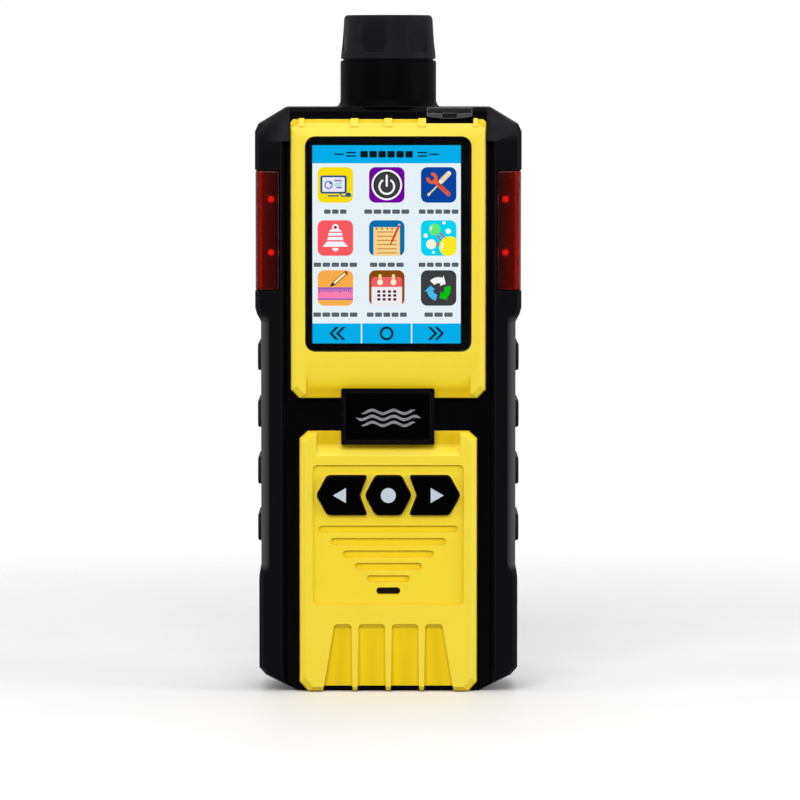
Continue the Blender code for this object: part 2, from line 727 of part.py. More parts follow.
def nameplate():
    """The black badge that bridges the two yellow panels, on a foot in the channel."""
    plate = chamfer(box("nameplate", (-13.5, -19.6, 72.2), (13.5, LEDGE - GAP, 87.8)), 0.4)
    fuse(plate, box("nameplate_foot", (-12, LEDGE - 1, 76.8), (12, PANEL_BACK, 84.6)))
    cut(plate, box("nameplate_field", (-12.4, -21, 73.3), (12.4, -19.3, 86.7)))
    return finish(plate, "black_gloss")


def window_outline():
    return rectangle(-WINDOW_HALF_WIDTH, WINDOW_LOW, WINDOW_HALF_WIDTH, WINDOW_HIGH, WINDOW_RADIUS, 8)


def display():
    outline = window_outline()
    finish(prism("display_window", "Y", WINDOW_FRONT, WINDOW_BACK, outline), "glass")
    gasket = (grown(outline, -0.15), rectangle(-22.9, 100.4, 22.9, 160.3))
    finish(prism("window_gasket", "Y", WINDOW_BACK + GAP, LCD_FRONT - GAP, *gasket), "rubber")
    corners = ((-LCD_HALF_WIDTH, LCD_FRONT, LCD_LOW), (LCD_HALF_WIDTH, LCD_BACK, LCD_HIGH))
    finish(box("lcd_module", *corners), "display")


# ---------------------------------------------------------------- sides


def alarm_lenses():
    """Red covers that wrap round the front corners of the upper wing."""
    for side, sign in SIDES:
        outer = [
            (LENS_INNER, BODY_FRONT),
            (LENS_OUTER - 1.2, BODY_FRONT),
            (LENS_OUTER - 0.3, BODY_FRONT + 0.4),
            (LENS_OUTER, BODY_FRONT + 1.3),
            (LENS_OUTER, LENS_REAR),
            (LENS_OUTER - LENS_WALL, LENS_REAR),
            (LENS_OUTER - LENS_WALL, BODY_FRONT + LENS_WALL),
            (LENS_INNER, BODY_FRONT + LENS_WALL),
        ]
        outline = [(sign * across, deep) for across, deep in outer]
        finish(prism(f"{side}_alarm_lens", "Z", LENS_LOW, LENS_HIGH, outline), "red_lens")


def alarm_boards():
    """A narrow board behind each lens with two lamps on it."""
    for side, sign in SIDES:
        inner, outer = sorted((sign * 32.0, sign * 36.3))
        board = box(f"{side}_alarm_board", (inner, -7.4, 118.6), (outer, -6.4, 150.2))
        for number, height in enumerate((127.7, 143.2), start=1):
            lamp = box(
                f"{side}_lamp_{number}",
                (sign * 34.1 - 1.4, -9.6, height - 1.75),
                (sign * 34.1 + 1.4, -7.1, height + 1.75),
            )
            fuse(board, lamp)
        finish(board, "board")


def side_rails():
    """Rubber grip strips let into the waist, with four studs on each."""
    for side, sign in SIDES:
        inner, outer = sorted((sign * RAIL_INNER, sign * (WAIST_HALF_WIDTH - 0.05)))
        low, high = WAIST_MIDDLE - RAIL_HALF_HEIGHT, WAIST_MIDDLE + RAIL_HALF_HEIGHT
        rail = prism(f"{side}_side_rail", "X", inner, outer, rectangle(RAIL_FRONT, low, RAIL_REAR, high, 2.0))
        for number in range(4):
            height = WAIST_MIDDLE + (number - 1.5) * STUD_PITCH
            outline = rectangle(
                RAIL_FRONT + 0.9, height - STUD_HEIGHT / 2, RAIL_REAR - 0.9, height + STUD_HEIGHT / 2, 2.6, 3
            )
            inner_stud, outer_stud = sorted((sign * (RAIL_INNER + 0.5), sign * STUD_OUTER))
            fuse(rail, chamfer(prism(f"{side}_stud_{number}", "X", inner_stud, outer_stud, outline), 0.45, 60))
        finish(rail, "rubber")


# ---------------------------------------------------------------- inlet


def inlet_neck():
    """The filter housing's neck: a flared flange on the body, a filter chamber and a spigot for the cap."""
    base = BODY_HEIGHT + GAP
    outer = [
        (SPIGOT_RADIUS, 188.8),
        (SPIGOT_RADIUS, NECK_TOP),
        (NECK_RADIUS - 0.7, NECK_TOP),
        (NECK_RADIUS - 0.2, NECK_TOP - 0.2),
        (NECK_RADIUS, NECK_TOP - 0.7),
        *neck_flare(FLANGE_RADIUS - NECK_RADIUS, base + 0.15, 2.1, 4),
        (FLANGE_RADIUS, base),
        (8.0, base),
        (8.0, 163.6),
    ]
    inner = [(1.6, 163.6), (1.6, 172.0), (8.6, 172.0), (8.6, 188.8)]
    return finish(turned("inlet_neck", outer + inner), "black_plastic")


def neck_flare(width, base, height, steps):
    """A quarter curve from the neck's wall out to its flange, going down."""
    for step in range(steps + 1):
        angle = math.radians(90 * step / steps)
        yield NECK_RADIUS + width * (1 - math.cos(angle)), base + height * (1 - math.sin(angle))


def neck_nut():
    nut = cylinder("neck_nut", "Z", (0, 0, 163.9), 2.6, 11.2, sides=6)
    return finish(cut(nut, cylinder("nut_bore", "Z", (0, 0, 160), 10, 8.0 + GAP)), "light_plastic")


def cap_o_ring():
    outline = circle(11.45, NECK_TOP + 0.95, 0.55, 8)
    return finish(turned("cap_o_ring", outline[::-1], sides=32), "rubber")


def filter_insert():
    """The cup that holds the dust filter. It lifts out with the cap but doesn't turn with it."""
    outer = [(10.5, 190.5), (10.5, 189.1), (8.2, 189.1), (8.2, 182.7), (5.5, 182.7), (5.5, 183.5), (7.2, 183.5)]
    finish(turned("filter_cup", [*outer, (7.2, 190.5)], sides=32), "light_plastic", (0, 0, 182.7))
    finish(cylinder("dust_filter", "Z", (0, 0, 183.8), 6.4, 6.85), "silicone", (0, 0, 182.7))


def inlet_cap():
    """The screw cap, with scoops round it for the fingers and the hose socket in its top."""
    profile = [
        (CAP_TOP_RADIUS - 1.0, CAP_HIGH),
        (CAP_TOP_RADIUS - 0.3, CAP_HIGH - 0.3),
        (CAP_TOP_RADIUS, CAP_HIGH - 1.0),
        (CAP_RADIUS, CAP_LOW + 0.3),
        (CAP_RADIUS - 0.3, CAP_LOW),
        (12.6, CAP_LOW),
        (12.6, CAP_LOW + 1.5),
        (10.9, CAP_LOW + 1.5),
        (10.9, CAP_CEILING),
        (SOCKET_RADIUS, CAP_CEILING),
        (SOCKET_RADIUS, CAP_HIGH - 0.5),
        (SOCKET_RADIUS + 0.5, CAP_HIGH),
    ]
    cap = turned("inlet_cap", profile, sides=48)
    lean = math.atan2(CAP_RADIUS - CAP_TOP_RADIUS, CAP_HIGH - CAP_LOW)
    height = CAP_LOW + 9.2
    reach = CAP_RADIUS - math.tan(lean) * (height - CAP_LOW) + 0.95
    beside = Matrix.Translation(Vector((reach, 0, height)) * MM) @ Matrix.Rotation(-lean, 4, "Y")
    for number in range(CAP_SCOOPS):
        turn = math.radians(SCOOP_TURN + 360 * number / CAP_SCOOPS - 90)
        scoop = chamfer(box(f"scoop_{number}", (-1.8, -3.7, -7), (1.8, 3.7, 7)), 1.3)
        scoop.matrix_world = Matrix.Rotation(turn, 4, "Z") @ beside
        cut(cap, scoop)
    return finish(cap, "black_plastic", (0, 0, CAP_LOW))


# ---------------------------------------------------------------- charging port


def usb_cover():
    """A rubber flap over the charging port: a plate, a front lip with a thumb notch and a plug underneath."""
    hinge_y, hinge_z = COVER_HINGE
    port_x, port_y = PORT_MIDDLE
    cover = box("usb_cover", (COVER_LEFT, COVER_FRONT, 168.6), (COVER_RIGHT, hinge_y + 0.5, BODY_HEIGHT))
    fuse(cover, box("cover_lip", (COVER_LEFT, COVER_FRONT, 166.4), (COVER_RIGHT, -15.0, 169)))
    fuse(cover, box("cover_plug", (port_x - 4.6, port_y - 1.8, 167.3), (port_x + 4.6, port_y + 1.8, 169)))
    cut(
        cover,
        cylinder("cover_neck_clearance", "Z", (0, 0, 160), 20, FLANGE_RADIUS + 4 * GAP, sides=48),
        box("cover_notch", (15.4, -20, 165), (20.1, COVER_FRONT + 0.7, 168.0)),
    )
    return finish(cover, "rubber", (17.7, hinge_y, hinge_z))


def usb_connector():
    port_x, port_y = PORT_MIDDLE
    shell = box("usb_connector", (port_x - 4.5, port_y - 1.6, 159.2), (port_x + 4.5, port_y + 1.6, 167.0))
    mouth = rectangle(port_x - 4.1, port_y - 1.2, port_x + 4.1, port_y + 1.2, 1.15, 3)
    tongue = rectangle(port_x - 3.2, port_y - 0.35, port_x + 3.2, port_y + 0.35)
    cut(shell, prism("usb_mouth", "Z", 161, 170, mouth))
    return finish(fuse(shell, prism("usb_tongue", "Z", 160, 166.3, tongue)), "steel")


# ---------------------------------------------------------------- electronics


def main_board():
    port_x, _ = PORT_MIDDLE
    board = box("main_board", (-24.5, BOARD_FRONT, 44), (24.5, BOARD_BACK, 163))
    cut(board, box("port_notch", (port_x - 4.9, -20, 158.8), (port_x + 4.9, 0, 170)))
    for number, (across, height, half) in enumerate(((0, 60, 5.0), (-14, 72, 3.0), (13, 54, 2.5))):
        chip = box(
            f"chip_{number}",
            (across - half, BOARD_BACK - 0.5, height - half),
            (across + half, -9.2, height + half),
        )
        fuse(board, chip)
    return finish(board, "board")


def buzzer():
    can = cylinder("buzzer", "Y", (0, -12.0, BUZZER_HEIGHT), 4.5, 6.5)
    cut(can, cylinder("buzzer_port", "Y", (0, -14, BUZZER_HEIGHT), 4, 1.2, sides=12))
    return finish(can, "black_plastic")


def battery_pack():
    return finish(chamfer(box("battery_pack", (-25, 2.2, 9), (25, 14.4, 66)), 1.5), "battery_wrap")


def vibration_motor():
    """A small motor along X with a half-round weight on its shaft."""
    axis_y, axis_z = -5.5, 20.0
    can = cylinder("vibration_motor", "X", (-24, axis_y, axis_z), 11, 3.0, sides=20)
    cut(can, cylinder("vibration_bore", "X", (-16, axis_y, axis_z), 5, 0.9, sides=12))
    finish(can, "steel")
    weight = cylinder("vibration_weight", "X", (-15.5, axis_y, axis_z), 7.0, 0.5, sides=10)
    half_disc = cylinder("weight_disc", "X", (-12.2, axis_y, axis_z), 3.2, 2.7, sides=20)
    cut(half_disc, box("weight_cut", (-14, axis_y - 4, axis_z + 0.25), (-7, axis_y + 4, axis_z + 5)))
    finish(fuse(weight, half_disc), "steel", (-15.5, axis_y, axis_z))


# ---------------------------------------------------------------- pump


def pump_motor():
    can = chamfer(cylinder("pump_motor", "X", (-26, PUMP_Y, PUMP_Z), 20, 8.0), 0.5, 60)
    return finish(cut(can, cylinder("motor_bore", "X", (-10, PUMP_Y, PUMP_Z), 6, 1.2, sides=12)), "steel")


def pump_rotor():
    """The motor's shaft and the eccentric that drives the rod."""
    shaft = cylinder("pump_rotor", "X", (-9.5, PUMP_Y, PUMP_Z), 11.5, 0.8, sides=12)
    fuse(shaft, cylinder("eccentric", "X", (1.2, PUMP_Y, PUMP_Z + ECCENTRICITY), 3.6, 1.6, sides=20))
    return finish(shaft, "steel", (-9.5, PUMP_Y, PUMP_Z))


def pump_rod():
    """The ring round the eccentric, with a stem up to the diaphragm's plate."""
    outline = circle(PUMP_Y, PUMP_Z, 4.5, 20)
    hole = circle(PUMP_Y, PUMP_Z, 3.1, 20)
    rod = prism("pump_rod", "X", ROD_X - 1.3, ROD_X + 1.3, outline, hole)
    fuse(
        rod,
        box("rod_stem", (ROD_X - 1.3, PUMP_Y - 1.2, PUMP_Z + 4.0), (ROD_X + 1.3, PUMP_Y + 1.2, PUMP_Z + 10.0)),
        cylinder("rod_plate", "Z", (ROD_X, PUMP_Y, PUMP_Z + 9.6), 1.0, 4.0, sides=20),
    )
    return finish(rod, "light_plastic", (ROD_X, PUMP_Y, PUMP_Z))


def pump_head():
    head = box("pump_head", (ROD_X - 8.4, -6.0, PUMP_Z - 8.0), (ROD_X + 8.4, 11.5, PUMP_Z + 11.2))
    cut(
        head,
        cylinder("crank_space", "X", (-7, PUMP_Y, PUMP_Z), 13, 5.6),
        box("stem_slot", (ROD_X - 2.2, PUMP_Y - 2.0, PUMP_Z), (ROD_X + 2.2, PUMP_Y + 2.0, PUMP_Z + 12)),
        cylinder("plate_space", "Z", (ROD_X, PUMP_Y, PUMP_Z + 7.6), 6, 5.2),
    )
    return finish(head, "light_plastic")


def pump_diaphragm():
    return finish(cylinder("pump_diaphragm", "Z", (ROD_X, PUMP_Y, PUMP_Z + 11.5), 0.6, 7.4), "rubber")


def pump_cover():
    """The valve plate, with the suction and exhaust nozzles."""
    base = PUMP_Z + 12.4
    cover = box("pump_cover", (ROD_X - 8.4, -5.0, base), (ROD_X + 8.4, 11.0, base + 3.6))
    for number, across in enumerate((ROD_X - 4, ROD_X + 4)):
        fuse(cover, cylinder(f"nozzle_{number}", "Z", (across, PUMP_Y, base + 3), 3.4, 1.3, sides=12))
    return finish(cover, "light_plastic")


# ---------------------------------------------------------------- gas path


def sensors():
    """Four cylindrical gas cells in a square behind the display."""
    gases = (("oxygen", -1, 1), ("combustible", 1, 1), ("carbon_monoxide", -1, -1), ("hydrogen_sulfide", 1, -1))
    for gas, across, up in gases:
        centre = (across * SENSOR_PITCH / 2, -8.5, SENSOR_MIDDLE + up * SENSOR_PITCH / 2)
        finish(chamfer(cylinder(f"{gas}_sensor", "Y", centre, 16.5, SENSOR_RADIUS), 0.6, 60), "light_plastic")


def sensor_manifold():
    """The plate that leads the sampled gas over the four cells' faces."""
    half = SENSOR_PITCH / 2 + SENSOR_RADIUS + 1.0
    block = box(
        "sensor_manifold",
        (-half, MANIFOLD_FRONT, SENSOR_MIDDLE - half),
        (half, MANIFOLD_REAR, SENSOR_MIDDLE + half),
    )
    for across in (-1, 1):
        for up in (-1, 1):
            centre = (across * SENSOR_PITCH / 2, MANIFOLD_FRONT - 2, SENSOR_MIDDLE + up * SENSOR_PITCH / 2)
            cut(block, cylinder(f"well_{across}_{up}", "Y", centre, 4.5, 8.0, sides=20))
    cut(
        block,
        box("cross_duct", (-12, MANIFOLD_FRONT - 1, SENSOR_MIDDLE - 1.5), (12, 10.2, SENSOR_MIDDLE + 1.5)),
        box("rise_duct", (-1.5, MANIFOLD_FRONT - 1, SENSOR_MIDDLE - 14), (1.5, 10.2, SENSOR_MIDDLE + 14)),
    )
    return finish(block, "light_plastic")


def tubes():
    """Soft tubes: neck to manifold, manifold to pump, and pump to the vent."""
    half = SENSOR_PITCH / 2 + SENSOR_RADIUS + 1.0
    manifold_low, manifold_high = SENSOR_MIDDLE - half, SENSOR_MIDDLE + half
    nozzle_top = PUMP_Z + 12.4 + 6.4 + 2 * GAP
    suction_x, exhaust_x = ROD_X - 4, ROD_X + 4
    routes = {
        "inlet_tube": (
            2.0,
            [(0, 0, 163.3), (0, 0.6, 160), (0, 6, 156), (0, 11, 152.5), (0, 11.5, manifold_high + GAP)],
        ),
        "suction_tube": (
            1.5,
            [
                (suction_x, PUMP_Y, nozzle_top),
                (suction_x, PUMP_Y + 0.6, nozzle_top + 1.6),
                (suction_x, 7, nozzle_top + 3.3),
                (suction_x, 10.8, nozzle_top + 4.6),
                (suction_x, 11.5, manifold_low - 2 * GAP),
            ],
        ),
        "exhaust_tube": (
            1.5,
            [
                (exhaust_x, PUMP_Y, nozzle_top),
                (exhaust_x + 0.8, PUMP_Y, nozzle_top + 1.8),
                (13, 3.2, nozzle_top + 2.6),
                (19, 4.0, 98.5),
                (21.8, 6.2, 93.4),
                (22, 8.4, 92),
                (22, 10.1, 92),
            ],
        ),
    }
    for name, (radius, points) in routes.items():
        finish(wire(name, smooth_route(points, 3), radius), "silicone")


def vent_fitting():
    fitting = cylinder("vent_fitting", "Y", (22, 10.5, 92), 7.2, 2.2, sides=16)
    return finish(cut(fitting, cylinder("vent_bore", "Y", (22, 9, 92), 12, 1.2, sides=12)), "black_plastic")


# ---------------------------------------------------------------- back


def rear_label():
    outline = rectangle(-20, 21, 20, 51, 1.5)
    return finish(prism("rear_label", "Y", 17.7, 17.95, outline), "label")


def clip_bracket():
    """The belt clip's base: a plate on the rear shell with two ears for the pin."""
    plate_front, plate_rear = BODY_REAR + GAP, BODY_REAR + 1.5
    half = CLIP_HALF_WIDTH + 2
    bracket = prism("clip_bracket", "Y", plate_front, plate_rear, rectangle(-half, 92, half, 121, 1.5, 3))
    pivot_y, pivot_z = CLIP_PIVOT
    ear = [
        (plate_front + 0.4, pivot_z - 6),
        (pivot_y + 1.2, pivot_z - 2.2),
        (pivot_y + 2.2, pivot_z - 1.2),
        (pivot_y + 2.2, pivot_z + 1.2),
        (pivot_y + 1.2, pivot_z + 2.2),
        (plate_front + 0.4, pivot_z + 6),
    ]
    for side, sign in SIDES:
        inner, outer = sorted((sign * (half - 1.6), sign * (half - 0.4)))
        fuse(bracket, prism(f"{side}_ear", "X", inner, outer, ear))
    cut(bracket, cylinder("ear_hole", "X", (-20, pivot_y, pivot_z), 40, 1.1, sides=16))
    for side, across in CLIP_SCREWS:
        cut(bracket, cylinder(f"{side}_bracket_hole", "Y", (across, 15, CLIP_SCREW_HEIGHT), 8, 1.5, sides=16))
    return finish(bracket, "steel")


def clip_screws():
    for side, across in CLIP_SCREWS:
        screw = cylinder(f"{side}_clip_screw", "Y", (across, 13.2, CLIP_SCREW_HEIGHT), 7.4, 1.1, sides=12)
        fuse(screw, cylinder(f"{side}_clip_head", "Y", (across, 19.8, CLIP_SCREW_HEIGHT), 1.5, 2.2, sides=16))
        cut(screw, cylinder(f"{side}_clip_socket", "Y", (across, 20.4, CLIP_SCREW_HEIGHT), 3, 1.0, sides=6))
        finish(screw, "steel")


def clip_arm():
    """The sprung arm: a thumb tab above the pin, a long finger below it and a lip that hooks the belt."""
    pivot_y, pivot_z = CLIP_PIVOT
    half = CLIP_HALF_WIDTH
    side = [
        (28.2, 124.2),
        (26.8, 124.6),
        (24.7, 115.0),
        (24.7, 61.0),
        (23.3, 56.6),
        (21.5, 54.8),
        (19.8, 57.0),
        (18.8, 56.2),
        (21.1, 52.8),
        (24.5, 55.6),
        (25.9, 60.8),
        (25.9, 114.6),
    ]
    arm = prism("clip_arm", "X", -half, half, side[::-1])
    cut(arm, prism("clip_window", "Y", 20, 30, rectangle(-4, 66, 4, 98, 3.9)))
    fuse(arm, cylinder("clip_barrel", "X", (-half, pivot_y, pivot_z), half + 5.4, 2.1, sides=20))
    cut(arm, cylinder("barrel_bore", "X", (-20, pivot_y, pivot_z), 40, 1.1, sides=16))
    return finish(arm, "steel", (0, pivot_y, pivot_z))


def clip_pin():
    pivot_y, pivot_z = CLIP_PIVOT
    half = CLIP_HALF_WIDTH + 2.4
    return finish(cylinder("clip_pin", "X", (-half, pivot_y, pivot_z), 2 * half, 0.8, sides=16), "steel")


def clip_spring():
    """The torsion spring beside the barrel: turns round the pin, then a leg down to the bracket's plate."""
    pivot_y, pivot_z = CLIP_PIVOT
    start_x, end_x, radius, turns, per_turn = 5.95, 9.65, 1.3, 4, 10
    route = []
    for step in range(turns * per_turn + 1):
        angle = 2 * math.pi * step / per_turn
        along = start_x + (end_x - start_x) * step / (turns * per_turn)
        route.append((along, pivot_y + radius * math.cos(angle), pivot_z + radius * math.sin(angle)))
    route.append((end_x, pivot_y - 0.4, pivot_z - 3.2))
    route.append((end_x, BODY_REAR + 2.1, pivot_z - 8))
    return finish(wire("clip_spring", route, 0.22), "steel")


# ---------------------------------------------------------------- assembly

shared_tools = shared_cutters()
front_housing(shared_tools)
rear_housing(shared_tools)
housing_gasket()
housing_screws()
display_bezel()
keypad_bezel()
nameplate()
display()
keys()
alarm_lenses()
alarm_boards()
side_rails()
inlet_neck()
neck_nut()
cap_o_ring()
filter_insert()
inlet_cap()
usb_cover()
usb_connector()
main_board()
buzzer()
battery_pack()
vibration_motor()
pump_motor()
pump_rotor()
pump_rod()
pump_head()
pump_diaphragm()
pump_cover()
sensors()
sensor_manifold()
tubes()
vent_fitting()
rear_label()
clip_bracket()
clip_screws()
clip_arm()
clip_pin()
clip_spring()
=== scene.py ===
"""The looks of the portable gas detector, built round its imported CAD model.

The frame's axes hold throughout: the front faces -Y, +X is to the user's right and +Z is up. Sizes are in
millimetres and MM turns them into Blender's metres. Flat shapes on the front are (across, up) outlines.
"""

import json
import math

import bmesh
import bpy
from mathutils import Matrix, Vector


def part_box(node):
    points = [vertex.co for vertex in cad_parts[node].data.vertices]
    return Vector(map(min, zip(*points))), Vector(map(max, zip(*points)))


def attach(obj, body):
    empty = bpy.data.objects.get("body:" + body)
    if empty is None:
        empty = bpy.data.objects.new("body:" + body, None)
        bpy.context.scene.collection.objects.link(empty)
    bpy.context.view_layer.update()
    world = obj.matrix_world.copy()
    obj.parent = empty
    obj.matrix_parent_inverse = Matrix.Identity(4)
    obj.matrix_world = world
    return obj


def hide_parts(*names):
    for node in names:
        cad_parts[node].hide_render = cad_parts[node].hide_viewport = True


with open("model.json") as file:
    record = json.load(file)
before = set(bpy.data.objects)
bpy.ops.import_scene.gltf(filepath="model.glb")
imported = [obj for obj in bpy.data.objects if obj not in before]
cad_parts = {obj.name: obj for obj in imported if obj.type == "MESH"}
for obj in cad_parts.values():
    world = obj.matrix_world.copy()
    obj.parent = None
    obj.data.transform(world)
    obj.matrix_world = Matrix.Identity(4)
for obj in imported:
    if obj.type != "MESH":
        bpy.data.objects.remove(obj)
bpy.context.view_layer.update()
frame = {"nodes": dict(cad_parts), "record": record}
NODES = frame["nodes"]
MM = 0.001

# The camera: at the photograph's height and distance, aimed at the middle of the body
CAMERA_DISTANCE = 1500.0
CAMERA_ELEVATION = 3.8
CAMERA_TARGET = (0.0, -18.5, 85.15)
VIEW_WIDTH = 232.2  # what the picture spans at the target
VIEW_SHIFT = 11.7 / 800

# Cap and neck
CAP_TOP_RADIUS = 12.9
CAP_FOOT_RADIUS = 13.9
SCOOP_COUNT = 6
SCOOP_TURN = -19.0
SCOOP_HALF_WIDTH = 4.0
SCOOP_FOOT = 2.2  # height of the scoops' lower ends above the cap's rim
SCOOP_FLOOR = 12.8
SOCKET_RADIUS = 3.5
NECK_RADIUS = 14.0
NECK_TOP = 183.55
THREAD_PITCH = 2.5
COLLAR_RADIUS = 13.15  # the neck's collar, which goes up into the cap's recess
COLLAR_TOP = NECK_TOP + 1.35
CAP_RECESS = 13.45

# Keycaps
FIELD_DEPTH = 0.6  # how far the field with the keys lies below the panel's face
KEYCAP_BACK = -15.3
KEYCAP_INSET = 0.16
KEYCAP_CORNER = 1.1
KEY_OUTLINES = {
    "ok": [(6.9, 0), (3.8, 5.9), (-3.8, 5.9), (-6.9, 0), (-3.8, -5.9), (3.8, -5.9)],
    "right": [(8.25, 0), (5.93, -5.9), (17.8, -5.9), (21.07, 0), (17.8, 5.9), (5.93, 5.9)],
}
KEY_OUTLINES["left"] = [(-across, up) for across, up in reversed(KEY_OUTLINES["right"])]

# Lamps, and the belt clip's arm as (deep, up) points along its strip
LAMP_ACROSS = 34.1
LAMP_ROWS = (127.7, 143.2)
CLIP_ROUTE = [(27.5, 124.2), (25.3, 115.0), (25.3, 61.0), (23.9, 56.2), (21.3, 53.7), (19.35, 56.5)]

# The display's picture
PICTURE = (-22.02, 101.5, 21.02, 159.0)  # left, low, right, high
PICTURE_BACK = -16.30
LAYER = 0.04
TILE_HALF = 5.15
TILE_COLUMNS = (-15.36, -0.44, 14.6)
TILE_ROWS = (147.5, 132.1, 117.6)


def low_high(node):
    """A CAD node's lowest and highest corners in millimetres."""
    low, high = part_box(node)
    return Vector(low) / MM, Vector(high) / MM


def middle_height(node):
    low, high = low_high(node)
    return (low.z + high.z) / 2


def link(name, data):
    """A new object in the scene."""
    made = bpy.data.objects.new(name, data)
    bpy.context.scene.collection.objects.link(made)
    return made


# ---------------------------------------------------------------- finishes


def srgb(red, green, blue):
    """A screen colour, 0 to 255, as the linear values that shaders take."""
    values = [value / 255 for value in (red, green, blue)]
    return tuple(v / 12.92 if v <= 0.04045 else ((v + 0.055) / 1.055) ** 2.4 for v in values)


def rgba(colour, scale=1.0):
    return (*(min(1.0, value * scale) for value in colour), 1.0)


class Finish:
    """A material on the Principled shader, with its nodes made by short calls."""

    def __init__(self, name, colour, roughness, metallic=0.0, **shader):
        self.material = bpy.data.materials.new(name)
        self.material.use_nodes = True
        self.nodes = self.material.node_tree.nodes
        self.links = self.material.node_tree.links
        self.shader = self.nodes["Principled BSDF"]
        self.colour = colour
        self.place = self.node("TexCoord").outputs["Object"]
        self.put(self.shader, {"Base Color": rgba(colour), "Roughness": roughness, "Metallic": metallic})
        self.put(self.shader, {key.replace("_", " "): value for key, value in shader.items()})

    def put(self, node, inputs):
        for key, value in inputs.items():
            if isinstance(value, bpy.types.NodeSocket):
                self.links.new(value, node.inputs[key])
            else:
                node.inputs[key].default_value = value
        return node

    def node(self, kind, inputs=None, **settings):
        made = self.nodes.new(f"ShaderNode{kind}")
        for key, value in settings.items():
            setattr(made, key, value)
        return self.put(made, inputs or {})

    def noise(self, size, detail=2.0, stretch=(1, 1, 1), rough=0.5):
        """Noise with features of a size in millimetres, stretched along an axis if asked."""
        mapping = self.node("Mapping", {"Vector": self.place, "Scale": tuple(1 / s for s in stretch)})
        inputs = {"Vector": mapping.outputs[0], "Scale": 1 / (size * MM)}
        inputs.update({"Detail": detail, "Roughness": rough})
        return self.node("TexNoise", inputs).outputs["Fac"]

    def ramp(self, value, low, high, to_low=0.0, to_high=1.0):
        inputs = {"Value": value, "From Min": low, "From Max": high, "To Min": to_low, "To Max": to_high}
        return self.node("MapRange", inputs).outputs["Result"]

    def mix(self, factor, first, second):
        """A colour between two, each a tuple or a socket."""
        made = self.node("Mix", data_type="RGBA")
        for key, value in (("Factor_Float", factor), ("A_Color", first), ("B_Color", second)):
            socket = next(s for s in made.inputs if s.identifier == key)
            if isinstance(value, bpy.types.NodeSocket):
                self.links.new(value, socket)
            else:
                socket.default_value = value
        return next(s for s in made.outputs if s.identifier == "Result_Color")

    def times(self, first, second):
        return self.node("Math", {0: first, 1: second}, operation="MULTIPLY").outputs[0]

    def edges(self, width):
        """1 where the surface turns sharply within a width in millimetres, and 0 on the flats."""
        rounded = self.node("Bevel", {"Radius": width * MM}, samples=4).outputs[0]
        flat = self.node("NewGeometry").outputs["Normal"]
        dot = self.node("VectorMath", {0: rounded, 1: flat}, operation="DOT_PRODUCT").outputs["Value"]
        return self.ramp(dot, 0.99, 0.86)

    def along(self, axis):
        """How far a point lies along an axis, in millimetres."""
        return self.times(self.node("SeparateXYZ", {0: self.place}).outputs[axis], 1 / MM)

    def beside(self):
        """How far a point lies from the middle, to either side, in millimetres."""
        return self.node("Math", {0: self.along("X")}, operation="ABSOLUTE").outputs[0]

    def occlusion_shade(self, reach):
        """1 in inner corners no farther away than a reach in millimetres, as ambient occlusion finds them,
        and 0 on the flats: a mask for painted shade.
        """
        open_share = self.node("AmbientOcclusion", {"Distance": reach * MM}, samples=6, only_local=True)
        return self.ramp(open_share.outputs["AO"], 0.93, 0.68)

    def bump(self, height, depth, normal=None):
        """Bump from a height field, its full depth in millimetres."""
        inputs = {"Height": height, "Distance": depth * MM, "Strength": 1.0}
        if normal is not None:
            inputs["Normal"] = normal
        return self.node("Bump", inputs).outputs["Normal"]

    def tint(self, field, dark, light, low=0.3, high=0.7):
        """The finish's own colour, from a darker to a lighter share of it as a field rises."""
        return self.mix(self.ramp(field, low, high), rgba(self.colour, dark), rgba(self.colour, light))

    def use(self, **inputs):
        """Sets or links the shader's inputs, and gives the material."""
        self.put(self.shader, {key.replace("_", " "): value for key, value in inputs.items()})
        return self.material


def moulded(name, colour, roughness, grain, depth, mottle=0.12, edge_highlight=0.0, highlight_colour=None, painted_light=None, **shader):
    """Moulded plastic or rubber: a spark-eroded grain, a faint mottle, a painted highlight along the
    edges, and the painted light and shade of a given function.
    """
    made = Finish(name, colour, roughness, **shader)
    fine = made.noise(grain, 3.0)
    broad = made.noise(24.0, 4.0, rough=0.6)
    patch = made.noise(3.5, 3.0)
    tone = made.tint(broad, 1 - mottle, 1 + mottle)
    # A given function paints light and shade into the tone.
    if painted_light:
        tone = painted_light(made, tone)
    shine = made.ramp(patch, 0.3, 0.7, roughness - 0.05, roughness + 0.05)
    # Painted highlight: the edges are lightened in patches towards a paler colour.
    if edge_highlight:
        edge = made.times(made.edges(0.45), made.ramp(patch, 0.25, 0.7, 0.35 * edge_highlight, edge_highlight))
        tone = made.mix(edge, tone, rgba(highlight_colour))
    grained = made.bump(fine, depth, made.bump(broad, depth * 2))
    return made.use(Base_Color=tone, Roughness=shine, Normal=grained)


def yellow_painted_shade(made, tone):
    """Painted shade: a deeper yellow, without the whitish painted reflection of the front flats, in the
    recesses and on the deepest ledge floors, and darker golden lines along the inner corners.
    """
    deep, height = made.along("Y"), made.along("Z")
    panel_top, keys_top = (160.0, 159.0), (66.0, 68.0)
    # Painted shade in the recessed field and panels.
    recess_shade = made.times(made.ramp(deep, -18.4, -17.0), made.ramp(height, *panel_top))
    tone = made.mix(recess_shade, tone, (0.92, 0.66, 0.003, 1))
    # Painted shade on the deepest ledge floors.
    ledge_shade = made.times(made.ramp(deep, -17.5, -16.95), made.ramp(height, *keys_top))
    tone = made.mix(made.times(ledge_shade, made.ramp(height, *panel_top)), tone, (0.80, 0.54, 0.003, 1))
    # Painted shade: golden lines in the inner corners.
    return made.mix(made.occlusion_shade(1.0), tone, (0.78, 0.54, 0.004, 1))


